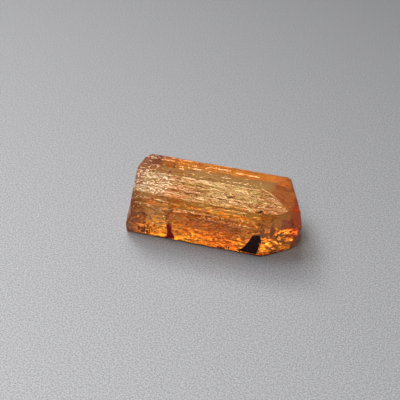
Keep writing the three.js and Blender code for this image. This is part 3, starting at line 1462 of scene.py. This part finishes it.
    def add_gaps(self, mesh: bpy.types.Mesh) -> None:
        """Adds the cracks and discs to the crystal's mesh as small closed hollows.

        Args:
            mesh: The crystal's skin.
        """
        rings = [crack.rings(28, (0.15, 0.6, 0.9)) for crack in self.cracks]
        rings += [disc.rings(7, (0.15,)) for disc in self.discs()]
        gaps = put_shapes([ring_shape(shape) for shape in rings])
        bmesh.ops.recalc_face_normals(gaps, faces=gaps.faces)
        bmesh.ops.reverse_faces(gaps, faces=gaps.faces)
        split_faces(gaps)
        hollows = bpy.data.meshes.new("gaps")
        gaps.to_mesh(hollows)
        gaps.free()
        joined = bmesh.new()
        joined.from_mesh(mesh)
        joined.from_mesh(hollows)
        joined.to_mesh(mesh)
        joined.free()
        bpy.data.meshes.remove(hollows)

    def specks(self) -> list[Speck]:
        """Dark grains and short dark lines near the skin: the placed ones, and more strewn over the top.

        Returns:
            The grains, settled at the skin.
        """
        random = np.random.default_rng(self.speck_seed)
        found = list(self.placed)
        while len(found) < self.speck_count:
            x, y = (random.uniform(low, high) for low, high in self.speck_box)
            crowded = math.exp(-(((x - self.speck_x) / self.speck_reach) ** 2))
            if random.random() > self.speck_rest + (1 - self.speck_rest) * crowded:
                continue
            size = self.speck_least + self.speck_spread * random.random() ** 2
            half = (size * random.uniform(1, self.speck_length), size, size * self.speck_height)
            tilt = random.uniform(-self.speck_tilt, self.speck_tilt)
            found.append(Speck((x, y, self.form.roof(y)), half, tilt))
        return [speck.settled(self.form) for speck in found]

    def build(self, skin: CrystalSkin) -> list[bpy.types.Object]:
        """Builds the flakes and specks as pieces of their own.

        Args:
            skin: The crystal's skin.

        Returns:
            The registered pieces.
        """
        flakes = [flake.build(skin) for flake in self.flakes]
        shapes = [speck.shape() for speck in self.specks()]
        return [*flakes, Piece("dark_specks", shapes, self.speck_finish.build()).build()]


# ---------------------------------------------------------------- node helpers


Socket = bpy.types.NodeSocket
Colour = Triple


@dataclass
class Graph:
    """A node tree, with short ways to add nodes to it and join them.

    Attributes:
        tree: The tree that the nodes go into.
    """

    tree: bpy.types.NodeTree

    def add(self, kind: str, inputs: dict | None = None, **settings: object) -> bpy.types.Node:
        """Adds a node.

        Args:
            kind: The node's type, without its leading word.
            inputs: What goes into its sockets: another socket, or a plain value.
            settings: The node's own options.

        Returns:
            The node.
        """
        node = self.tree.nodes.new("ShaderNode" + kind)
        for name, value in settings.items():
            setattr(node, name, value)
        for name, value in (inputs or {}).items():
            self.feed(node.inputs[name], value)
        return node

    def feed(self, socket: Socket, value: object) -> None:
        """Links a socket to another, or sets its plain value.

        Args:
            socket: The socket.
            value: The other socket, or the value; a colour may leave out its alpha.
        """
        if isinstance(value, Socket):
            self.tree.links.new(value, socket)
        elif isinstance(value, tuple) and len(value) == 3 and len(socket.default_value) == 4:
            socket.default_value = (*value, 1.0)
        else:
            socket.default_value = value

    def math(self, operation: str, *values: object) -> Socket:
        """One step of arithmetic."""
        return self.add("Math", dict(enumerate(values)), operation=operation).outputs[0]

    def vector(self, operation: str, *values: object) -> Socket:
        """One step of arithmetic on vectors."""
        return self.add("VectorMath", dict(enumerate(values)), operation=operation).outputs[0]

    def remap(self, value: Socket, low: object, high: object, start: float = 0.0, end: float = 1.0) -> Socket:
        """Eases a value from one range over to another, held at its ends."""
        inputs = {"Value": value, "From Min": low, "From Max": high, "To Min": start, "To Max": end}
        return self.add("MapRange", inputs, interpolation_type="SMOOTHSTEP").outputs["Result"]

    def blend(self, share: object, first: object, second: object, how: str = "MIX") -> Socket:
        """Mixes two colours, or lays the second over the first in another way."""
        inputs = {"Factor": share, 6: first, 7: second}
        return self.add("Mix", inputs, data_type="RGBA", blend_type=how).outputs[2]

    def between(self, share: object, first: object, second: object) -> Socket:
        """A number that goes from the first to the second as the share goes from 0 to 1."""
        return self.add("Mix", {0: share, 2: first, 3: second}, data_type="FLOAT").outputs[0]

    def noise(self, vector: Socket, scale: float, detail: float = 2.0, roughness: float = 0.5) -> Socket:
        """Smooth noise around one half."""
        inputs = {"Vector": vector, "Scale": scale, "Detail": detail, "Roughness": roughness}
        return self.add("TexNoise", inputs).outputs["Fac"]

    def cells(self, vector: Socket) -> Socket:
        """How far each place is from the middle of its angular cell."""
        settings = {"feature": "F1", "distance": "MANHATTAN"}
        return self.add("TexVoronoi", {"Vector": vector, "Scale": 1.0}, **settings).outputs["Distance"]

    def stretch(self, vector: Socket, scale: Triple, shift: Triple = (0.0, 0.0, 0.0)) -> Socket:
        """Scales and shifts a position."""
        return self.add("Mapping", {"Vector": vector, "Scale": scale, "Location": shift}).outputs["Vector"]


@dataclass(frozen=True)
class Mottle:
    """Soft patches.

    Attributes:
        scale: Patches to a millimetre along X, Y and Z.
        shift: Sets these patches apart from others.
        detail: How many finer layers the patches have.
        roughness: How strong each finer layer is.
        low: Where the noise starts to count.
        high: Where it counts in full.
        start: The mask below the low value.
        end: The mask above the high value.
    """

    scale: Triple
    shift: Triple
    detail: float
    roughness: float
    low: float
    high: float
    start: float = 0.0
    end: float = 1.0

    def over(self, graph: Graph, place: Socket) -> Socket:
        """The patches' mask."""
        value = graph.noise(graph.stretch(place, self.scale, self.shift), 1.0, self.detail, self.roughness)
        return graph.remap(value, self.low, self.high, self.start, self.end)


class Effect:
    """Shared node groups, each built the first time it is asked for.

    Attributes:
        STRIAE: The widths of groove: each with its share, its scale, its shift and its detail.
        ETCH_MARKS: The sizes of etch mark: each with its share and its scale.
        FLECKS: The tiny specks.
    """

    STRIAE = (
        (0.5, (0.22, 3.2, 3.2), (0.0, 0.0, 0.0), 2.0),
        (0.32, (0.6, 9.0, 9.0), (3.0, 1.0, 7.0), 2.0),
        (0.18, (1.7, 22.0, 22.0), (1.0, 5.0, 2.0), 1.0),
    )
    ETCH_MARKS = ((0.6, (2.2, 4.6, 4.6)), (0.35, (5.5, 10.0, 10.0)))
    FLECKS = Mottle((2.6, 6.5, 6.5), (9.0, 4.0, 2.0), 3.0, 0.65, 0.56, 0.7)

    @staticmethod
    def open(name: str, inputs: dict[str, str], outputs: dict[str, str]) -> tuple[Graph, dict, dict] | None:
        """Starts a node group, unless it exists.

        Args:
            name: The group's name.
            inputs: Its inputs, each with its socket type.
            outputs: Its outputs, each with its socket type.

        Returns:
            The group's graph, its input sockets and its output sockets by name; nothing if it exists.
        """
        if name in bpy.data.node_groups:
            return None
        tree = bpy.data.node_groups.new(name, "ShaderNodeTree")
        for label, kind in inputs.items():
            tree.interface.new_socket(label, in_out="INPUT", socket_type="NodeSocket" + kind)
        for label, kind in outputs.items():
            tree.interface.new_socket(label, in_out="OUTPUT", socket_type="NodeSocket" + kind)
        source = tree.nodes.new("NodeGroupInput").outputs
        target = tree.nodes.new("NodeGroupOutput").inputs
        given = {label: source[label] for label in inputs}
        return Graph(tree), given, {label: target[label] for label in outputs}

    @classmethod
    def zone(cls) -> bpy.types.NodeTree:
        """A patch with soft, uneven edges around a place.

        Returns:
            The node group.
        """
        inputs = dict.fromkeys(("Position", "Centre", "Half"), "Vector")
        inputs |= dict.fromkeys(("Edge", "Stray"), "Float")
        made = cls.open("zone", inputs, {"Mask": "Float"})
        if made:
            graph, given, out = made
            warp = graph.add("TexNoise", {"Vector": given["Position"], "Scale": 0.7, "Detail": 3.0})
            strayed = graph.vector("SUBTRACT", warp.outputs["Color"], (0.5, 0.5, 0.5))
            shift = graph.add("VectorMath", {0: strayed, "Scale": given["Stray"]}, operation="SCALE")
            moved = graph.vector("ADD", shift.outputs[0], given["Position"])
            share = graph.vector("DIVIDE", graph.vector("SUBTRACT", moved, given["Centre"]), given["Half"])
            parts = graph.add("SeparateXYZ", {"Vector": graph.vector("ABSOLUTE", share)}).outputs
            most = graph.math("MAXIMUM", parts[0], graph.math("MAXIMUM", parts[1], parts[2]))
            low = graph.math("SUBTRACT", 1.0, given["Edge"])
            high = graph.math("ADD", 1.0, given["Edge"])
            graph.feed(out["Mask"], graph.remap(most, low, high, 1.0, 0.0))
        return bpy.data.node_groups["zone"]

    @classmethod
    def striae(cls) -> bpy.types.NodeTree:
        """Fine grooves along X, at three widths.

        Returns:
            The node group.
        """
        made = cls.open("striae", {"Position": "Vector"}, {"Height": "Float"})
        if made:
            graph, given, out = made
            height = 0.0
            for share, scale, shift, detail in cls.STRIAE:
                layer = graph.noise(graph.stretch(given["Position"], scale, shift), 1.0, detail)
                height = graph.math("MULTIPLY_ADD", layer, share, height)
            graph.feed(out["Height"], height)
        return bpy.data.node_groups["striae"]

    @classmethod
    def etching(cls) -> bpy.types.NodeTree:
        """Small angular etch marks, and a scatter of tiny specks.

        Returns:
            The node group.
        """
        made = cls.open("etching", {"Position": "Vector"}, {"Height": "Float", "Specks": "Float"})
        if made:
            graph, given, out = made
            height = 0.0
            for share, scale in cls.ETCH_MARKS:
                layer = graph.cells(graph.stretch(given["Position"], scale))
                height = graph.math("MULTIPLY_ADD", layer, share, height)
            graph.feed(out["Height"], height)
            graph.feed(out["Specks"], cls.FLECKS.over(graph, given["Position"]))
        return bpy.data.node_groups["etching"]


def open_material(name: str) -> tuple[bpy.types.Material, Graph, bpy.types.bpy_prop_collection, Socket]:
    """Starts a node material.

    Args:
        name: The material's name.

    Returns:
        The material, its graph, its shader's inputs, and each point's place on the object in millimetres.
    """
    material = bpy.data.materials.new(name)
    material.use_nodes = True
    graph = Graph(material.node_tree)
    place = graph.stretch(graph.add("TexCoord").outputs["Object"], (1 / MM, 1 / MM, 1 / MM))
    return material, graph, material.node_tree.nodes["Principled BSDF"].inputs, place


@dataclass(frozen=True)
class Zone:
    """A zone of the stone.

    Attributes:
        name: Where it is and what it looks like.
        centre: Its middle.
        half: Its half lengths along X, Y and Z.
        colour: Its colour.
        roughness: How rough its skin is.
        edge: How wide its edge is, as a share of its half lengths.
        frost: How strong its matt bloom is.
        stray: How far its edge strays.
        clean: How free it is from the stone's streaks and grains.
    """

    name: str
    centre: Triple
    half: Triple
    colour: Colour
    roughness: float
    edge: float = 0.25
    frost: float = 0.0
    stray: float = 1.8
    clean: float = 0.0

    def mask(self, graph: Graph, place: Socket) -> Socket:
        """Where the zone is.

        Args:
            graph: The material's graph.
            place: Each point's place on the crystal.

        Returns:
            A mask from 0 to 1.
        """
        inputs = {"Position": place, "Centre": self.centre, "Half": self.half}
        inputs |= {"Edge": self.edge, "Stray": self.stray}
        return graph.add("Group", inputs, node_tree=Effect.zone(), label=self.name).outputs["Mask"]


@dataclass(frozen=True)
class TopazFinish:
    """The clear orange crystal: a vitreous, striated skin over a stone that takes the blue out of light.

    Attributes:
        name: The material's name.
        orange: The stone's main colour.
        amber: The colour of its darker patches.
        ambers: Where those patches are.
        streak: What its long streaks are darkened by.
        streaks: Where the streaks are.
        grain: What its grains are darkened by.
        grains: Where the grains are.
        fleck: What its tiny specks are darkened by.
        fleck_share: How strongly they are.
        rim: The painted shade on faces seen edge-on: what their colour is darkened by.
        rim_start: How nearly edge-on that starts.
        bloom: Where its matt bloom lies within the frosted zones.
        bloom_roughness: How rough the bloom is.
        bloom_ior: How strongly the bloom reflects, as an index of refraction.
        transmission: How much light goes through the skin.
        gloss: How rough the skin is outside all zones.
        glint: The colour of its reflections.
        density: How strongly the stone takes up light, to a metre.
        body: The colour that it lets through.
        bump: How deep its finest grooves are, in metres.
        etch_share: How deep its etch marks are beside them.
        zones: Its zones, each laid over those before it.
    """

    name: str = "topaz_clear"
    orange: Colour = (1.0, 0.74, 0.24)
    amber: Colour = (1.0, 0.46, 0.12)
    ambers: Mottle = Mottle((0.7, 1.5, 1.5), (0.0, 0.0, 0.0), 4.0, 0.6, 0.38, 0.64)
    streak: Colour = (0.74, 0.40, 0.26)
    streaks: Mottle = Mottle((0.7, 4.2, 4.2), (2.0, 8.0, 5.0), 3.0, 0.65, 0.36, 0.6, 0.75, 0.0)
    grain: Colour = (1.0, 0.58, 0.40)
    grains: Mottle = Mottle((1.5, 2.9, 2.9), (5.0, 3.0, 8.0), 3.0, 0.6, 0.44, 0.58, 0.0, 0.85)
    fleck: Colour = (0.42, 0.14, 0.08)
    fleck_share: float = 0.9
    rim: Colour = (0.55, 0.25, 0.18)
    rim_start: float = 0.82
    bloom: Mottle = Mottle((2.2, 4.5, 4.5), (0.0, 0.0, 0.0), 2.0, 0.7, 0.4, 0.62)
    bloom_roughness: float = 0.4
    bloom_ior: float = 2.2
    transmission: float = 0.76
    gloss: float = 0.02
    glint: Colour = (1.0, 0.86, 0.60)
    density: float = 225.0
    body: Colour = (0.97, 0.81, 0.06)
    bump: float = 0.000006
    etch_share: float = 0.7
    zones: tuple[Zone, ...] = (
        # Partly painted sheen: this paler straw tint over the streaked part of the top stands in partly for
        # the sheen of the overhead light, beside its own straw hue; its low roughness and bloom are real.
        Zone("straw_and_sheen_top", (1.6, -1.5, 6.0), (4.2, 2.4, 1.4), (1.0, 0.84, 0.29), 0.04, 0.25, 0.04),
        Zone("frosted_top", (-8.6, -1.4, 6.0), (2.3, 2.1, 1.4), (1.0, 0.82, 0.42), 0.12, 0.8, 0.65),
        Zone("dark_corner", (-9.8, 3.4, 5.9), (1.6, 2.0, 1.0), (0.62, 0.28, 0.20), 0.1, 0.4, 0.0, 1.0),
        Zone("pink_break", (-10.9, -1.0, 2.8), (1.1, 5.5, 5.0), (0.90, 0.50, 0.30), 0.2, 0.35, 0.35),
        Zone("brown_corner", (-9.9, -4.4, 1.5), (1.6, 1.0, 2.0), (1.0, 0.52, 0.22), 0.08, 0.2, 0.0, 0.6),
        Zone("tan_ridge", (1.5, 1.7, 6.3), (6.0, 1.3, 0.8), (1.0, 0.66, 0.20), 0.06, 0.4, 0.4, 1.8, 0.7),
        # Painted light: this zone keeps the block by the front crack free of the darker amber patches and
        # streaks, so that it looks lit from within the way the crack's inner reflection lights it; its matt
        # bloom is a real sheen.
        Zone("painted_glow_block", (-6.9, -4.3, 3.4), (1.35, 1, 1.2), (1, 0.74, 0.26), 0.03, 0.15, 0.5, 1.2, 0.85),
        Zone("brown_shoulder", (0.2, -4.2, 4.0), (2.6, 0.8, 0.8), (0.78, 0.40, 0.15), 0.05, 0.5),
        Zone("red_front", (1.2, -4.6, 1.5), (2.6, 0.9, 1.7), (1.0, 0.42, 0.11), 0.05, 0.6),
        Zone("red_end", (9.5, 1.4, 5.2), (2.9, 2.4, 2.6), (1.0, 0.36, 0.10), 0.05, 0.08, 0.3, 1.0, 0.7),
        Zone("matte_end", (8.0, -4.0, 2.6), (2.0, 1.8, 2.5), (1.0, 0.50, 0.14), 0.06, 0.1, 0.4, 1.8, 0.5),
        # Painted shade: the next two zones darken the lowest band of the front and of the faced end, standing
        # in for the contact shadow under the crystal and its shaded underside.
        Zone("painted_shade_foot", (0.0, -4.6, 0.0), (10.4, 0.7, 0.27), (0.08, 0.012, 0.006), 0.1, 0.3, 0.0, 0.2),
        Zone("painted_shade_toe", (6.9, -3.6, 0.0), (2.7, 1.8, 0.62), (0.08, 0.012, 0.006), 0.1, 0.3, 0.0, 0.3),
        Zone("deep_tip", (10.6, -0.8, 4.0), (1.1, 1.8, 2.2), (0.85, 0.10, 0.03), 0.06),
    )

    def build(self) -> bpy.types.Material:
        """The node material.

        Returns:
            The material.
        """
        material, graph, inputs, place = open_material(self.name)
        striae = graph.add("Group", {"Position": place}, node_tree=Effect.striae()).outputs
        etching = graph.add("Group", {"Position": place}, node_tree=Effect.etching()).outputs
        colour = graph.blend(self.ambers.over(graph, place), self.orange, self.amber)
        rough, frost, clean = self.gloss, 0.0, 0.0
        for zone in self.zones:
            mask = zone.mask(graph, place)
            colour = graph.blend(mask, colour, zone.colour)
            rough = graph.between(mask, rough, zone.roughness)
            if zone.frost:
                frost = graph.math("MAXIMUM", frost, graph.math("MULTIPLY", mask, zone.frost))
            if zone.clean:
                clean = graph.math("MAXIMUM", clean, graph.math("MULTIPLY", mask, zone.clean))
        stained = graph.math("SUBTRACT", 1.0, clean)
        # Painted shade: faces seen nearly edge-on are darkened toward the rim colour.
        grazing = graph.add("LayerWeight", {"Blend": 0.5}).outputs["Facing"]
        for share, tone in (
            (graph.math("MULTIPLY", stained, self.streaks.over(graph, place)), self.streak),
            (graph.math("MULTIPLY", stained, self.grains.over(graph, place)), self.grain),
            (graph.math("MULTIPLY", etching["Specks"], self.fleck_share), self.fleck),
            (graph.remap(grazing, self.rim_start, 1.0), self.rim),
        ):
            colour = graph.blend(share, colour, tone, "MULTIPLY")
        height = graph.math("MULTIPLY_ADD", etching["Height"], self.etch_share, striae["Height"])
        bump = graph.add("Bump", {"Height": height, "Distance": self.bump, "Strength": 1.0})
        graph.feed(inputs["Base Color"], colour)
        graph.feed(inputs["Roughness"], rough)
        graph.feed(inputs["Normal"], bump.outputs["Normal"])
        graph.feed(inputs["Coat Weight"], graph.math("MULTIPLY", frost, self.bloom.over(graph, place)))
        inputs["Coat Roughness"].default_value = self.bloom_roughness
        inputs["Coat IOR"].default_value = self.bloom_ior
        inputs["Specular Tint"].default_value = (*self.glint, 1)
        inputs["Transmission Weight"].default_value = self.transmission
        inputs["IOR"].default_value = TOPAZ_IOR
        absorption = graph.add("VolumeAbsorption", {"Color": self.body, "Density": self.density})
        graph.feed(material.node_tree.nodes["Material Output"].inputs["Volume"], absorption.outputs["Volume"])
        return material


@dataclass(frozen=True)
class InclusionFinish:
    """A dark solid inside the crystal.

    Attributes:
        name: The material's name.
        colour: Its colour.
        roughness: How rough it is.
        sheen: How strongly it reflects.
        patches: Its lighter patches to a millimetre.
        lighten: How many times lighter they are.
    """

    name: str
    colour: Colour
    roughness: float
    sheen: float = 0.2
    patches: float = 3.0
    lighten: float = 3.0

    def build(self) -> bpy.types.Material:
        """The node material.

        Returns:
            The material.
        """
        material, graph, inputs, place = open_material(self.name)
        patches = graph.remap(graph.noise(place, self.patches, 3.0), 0.45, 0.7)
        lighter = tuple(min(1.0, part * self.lighten + 0.004) for part in self.colour)
        graph.feed(inputs["Base Color"], graph.blend(patches, self.colour, lighter))
        inputs["Roughness"].default_value = self.roughness
        inputs["Specular IOR Level"].default_value = self.sheen
        return material


@dataclass(frozen=True)
class FloorFinish:
    """A fine-grained grey sheet.

    Attributes:
        name: The material's name.
        pale: The colour of its pale grains.
        dark: The colour of its dark grains.
        roughness: How rough it is.
        grain: Its grains to a millimetre.
    """

    name: str = "floor_grey"
    pale: Colour = (0.465, 0.515, 0.665)
    dark: Colour = (0.29, 0.32, 0.415)
    roughness: float = 0.75
    grain: float = 5.5

    def build(self) -> bpy.types.Material:
        """The node material.

        Returns:
            The material.
        """
        material, graph, inputs, place = open_material(self.name)
        grain = graph.remap(graph.noise(place, self.grain, 1.0, 0.6), 0.36, 0.64)
        graph.feed(inputs["Base Color"], graph.blend(grain, self.dark, self.pale))
        inputs["Roughness"].default_value = self.roughness
        return material


# ---------------------------------------------------------------- studio


@dataclass(frozen=True)
class Softbox:
    """A soft light with a grid over its face.

    Attributes:
        name: Its name.
        place: Where it hangs, in metres.
        width: How wide it is, in metres.
        height: How high it is, in metres.
        radiance: How bright its face is, seen from the crystal.
        tint: The colour of its light.
        spread: The whole angle over which its grid lets light out, in degrees.
        aim: The place on the floor that it faces, in metres.
    """

    name: str
    place: Triple
    width: float
    height: float
    radiance: float
    tint: Triple = (1.0, 1.0, 1.0)
    spread: float = 60.0
    aim: Triple = (-0.04, -0.12, 0.0)


@dataclass(frozen=True)
class Studio:
    """The floor, the soft light and the camera.

    Attributes:
        azimuth: Degrees by which the camera stands to the right of square on.
        elevation: Degrees by which it looks down.
        distance: How far it is from what it looks at.
        lens: Its focal length.
        sensor: The width of its picture.
        clip: The least and the greatest distance that it shows, in metres.
        target: What it looks at.
        sheet_half: Half the width of the floor sheet, in metres.
        sheet_drop: How far the sheet lies under the crystal's foot, in metres.
        softboxes: The soft lights.
        sky: The colour of the light from all around.
        sky_strength: How bright that light is.
        bounces: How often light may pass or bounce off a face.
    """

    azimuth: float = 16.0
    elevation: float = 40.0
    distance: float = 139.0
    lens: float = 100.0
    sensor: float = 36.0
    clip: tuple[float, float] = (0.01, 10.0)
    target: Triple = (-2.40, -0.47, 3.8)
    sheet_half: float = 1.5
    sheet_drop: float = 0.00002
    softboxes: tuple[Softbox, ...] = (
        Softbox("key", (-0.095, 0.179, 0.402), 0.16, 0.12, 3.8, (1.0, 0.88, 0.60)),
        Softbox("left", (-0.236, 0.236, 0.301), 0.16, 0.16, 12.5, (1.0, 0.93, 0.78)),
        Softbox("top", (-0.095, -0.110, 0.426), 0.16, 0.06, 5.0, (1.0, 0.88, 0.62)),
        Softbox("front", (-0.095, -0.193, 0.395), 0.16, 0.09, 5.4, (1.0, 0.88, 0.66)),
        Softbox("fill", (-0.095, -0.300, 0.322), 0.16, 0.10, 3.0, (1.0, 0.86, 0.60)),
        Softbox("window", (-0.095, 0.311, 0.311), 0.16, 0.10, 7.8, (1.0, 0.88, 0.66)),
        Softbox("side", (-0.258, 0.020, 0.368), 0.22, 0.22, 5.0, (1.0, 0.93, 0.82)),
    )
    sky: Triple = (1.0, 0.98, 0.95)
    sky_strength: float = 0.10
    bounces: int = 20

    def camera(self) -> None:
        """Places the camera and makes it the scene's own."""
        azimuth, elevation = math.radians(self.azimuth), math.radians(self.elevation)
        back = Vector((
            math.sin(azimuth) * math.cos(elevation),
            -math.cos(azimuth) * math.cos(elevation),
            math.sin(elevation),
        ))
        data = bpy.data.cameras.new("camera")
        data.lens = self.lens
        data.sensor_width = self.sensor
        data.clip_start, data.clip_end = self.clip
        camera = bpy.data.objects.new("camera", data)
        camera.location = (Vector(self.target) + back * self.distance) * MM
        camera.rotation_mode = "QUATERNION"
        camera.rotation_quaternion = (-back).to_track_quat("-Z", "Y")
        bpy.context.collection.objects.link(camera)
        bpy.context.scene.camera = camera

    def floor(self) -> None:
        """A wide flat sheet under the crystal."""
        half = self.sheet_half
        corners = [(-half, -half, 0), (half, -half, 0), (half, half, 0), (-half, half, 0)]
        mesh = bpy.data.meshes.new("floor")
        mesh.from_pydata(corners, [], [(0, 1, 2, 3)])
        mesh.materials.append(FloorFinish().build())
        floor = bpy.data.objects.new("floor", mesh)
        floor.location.z = -self.sheet_drop
        bpy.context.collection.objects.link(floor)

    def lamp(self, softbox: Softbox) -> None:
        """A soft rectangular light, as bright as the softbox says when seen from the crystal.

        Args:
            softbox: Its sizes and its light.
        """
        data = bpy.data.lights.new(softbox.name, "AREA")
        data.shape = "RECTANGLE"
        data.size, data.size_y = softbox.width, softbox.height
        half = math.radians(softbox.spread / 2)
        data.spread = 2 * half
        axis = Vector(softbox.aim) - Vector(softbox.place)
        aside = axis.angle(-Vector(softbox.place))
        straight = softbox.radiance / (1 - math.tan(aside) / math.tan(half))
        data.energy = straight * math.pi * softbox.width * softbox.height * (1 - half / math.tan(half))
        data.color = softbox.tint
        lamp = bpy.data.objects.new(softbox.name, data)
        lamp.location = softbox.place
        lamp.rotation_mode = "QUATERNION"
        lamp.rotation_quaternion = axis.to_track_quat("-Z", "Y")
        bpy.context.collection.objects.link(lamp)

    def build(self) -> None:
        """Everything around the crystal."""
        self.camera()
        self.floor()
        for softbox in self.softboxes:
            self.lamp(softbox)
        world = bpy.data.worlds.new("studio")
        world.use_nodes = True
        background = world.node_tree.nodes["Background"]
        background.inputs["Color"].default_value = (*self.sky, 1)
        background.inputs["Strength"].default_value = self.sky_strength
        bpy.context.scene.world = world
        bpy.context.scene.view_settings.view_transform = "Standard"
        bpy.context.scene.cycles.max_bounces = self.bounces
        bpy.context.scene.cycles.transmission_bounces = self.bounces


# ---------------------------------------------------------------- the crystal as a piece


@dataclass
class Crystal:
    """The crystal itself.

    Attributes:
        form: Its form.
        finish: Its material.
        sharp_angle: The angle in degrees from which its edges look sharp.
    """

    form: Form = field(default_factory=Form)
    finish: TopazFinish = field(default_factory=TopazFinish)
    sharp_angle: float = 28.0

    def build(self) -> list[bpy.types.Object]:
        """Builds, dresses and registers the crystal and what lies inside it.

        Returns:
            The registered pieces, the crystal last.
        """
        interior = Interior(self.form)
        relief = Relief(self.form, interior.flakes)
        skin = CrystalSkin(self.form, relief, BrokenEnd(self.form))
        mesh = skin.build()
        interior.add_gaps(mesh)
        inclusions = interior.build(skin)
        mesh.materials.append(self.finish.build())
        mesh.shade_smooth()
        mesh.set_sharp_from_angle(angle=math.radians(self.sharp_angle))
        crystal = bpy.data.objects.new("crystal", mesh)
        bpy.context.collection.objects.link(crystal)
        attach(crystal, "root")
        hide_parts(NODE)
        return [*inclusions, crystal]


def main() -> None:
    """Builds the studio and the crystal, and reports each piece."""
    logging.basicConfig(level=logging.INFO, format="%(name)s %(message)s")
    Studio().build()
    for piece in Crystal().build():
        LOG.info("%s: %d points, %d faces", piece.name, len(piece.data.vertices), len(piece.data.polygons))


if __name__ == "__main__":
    main()
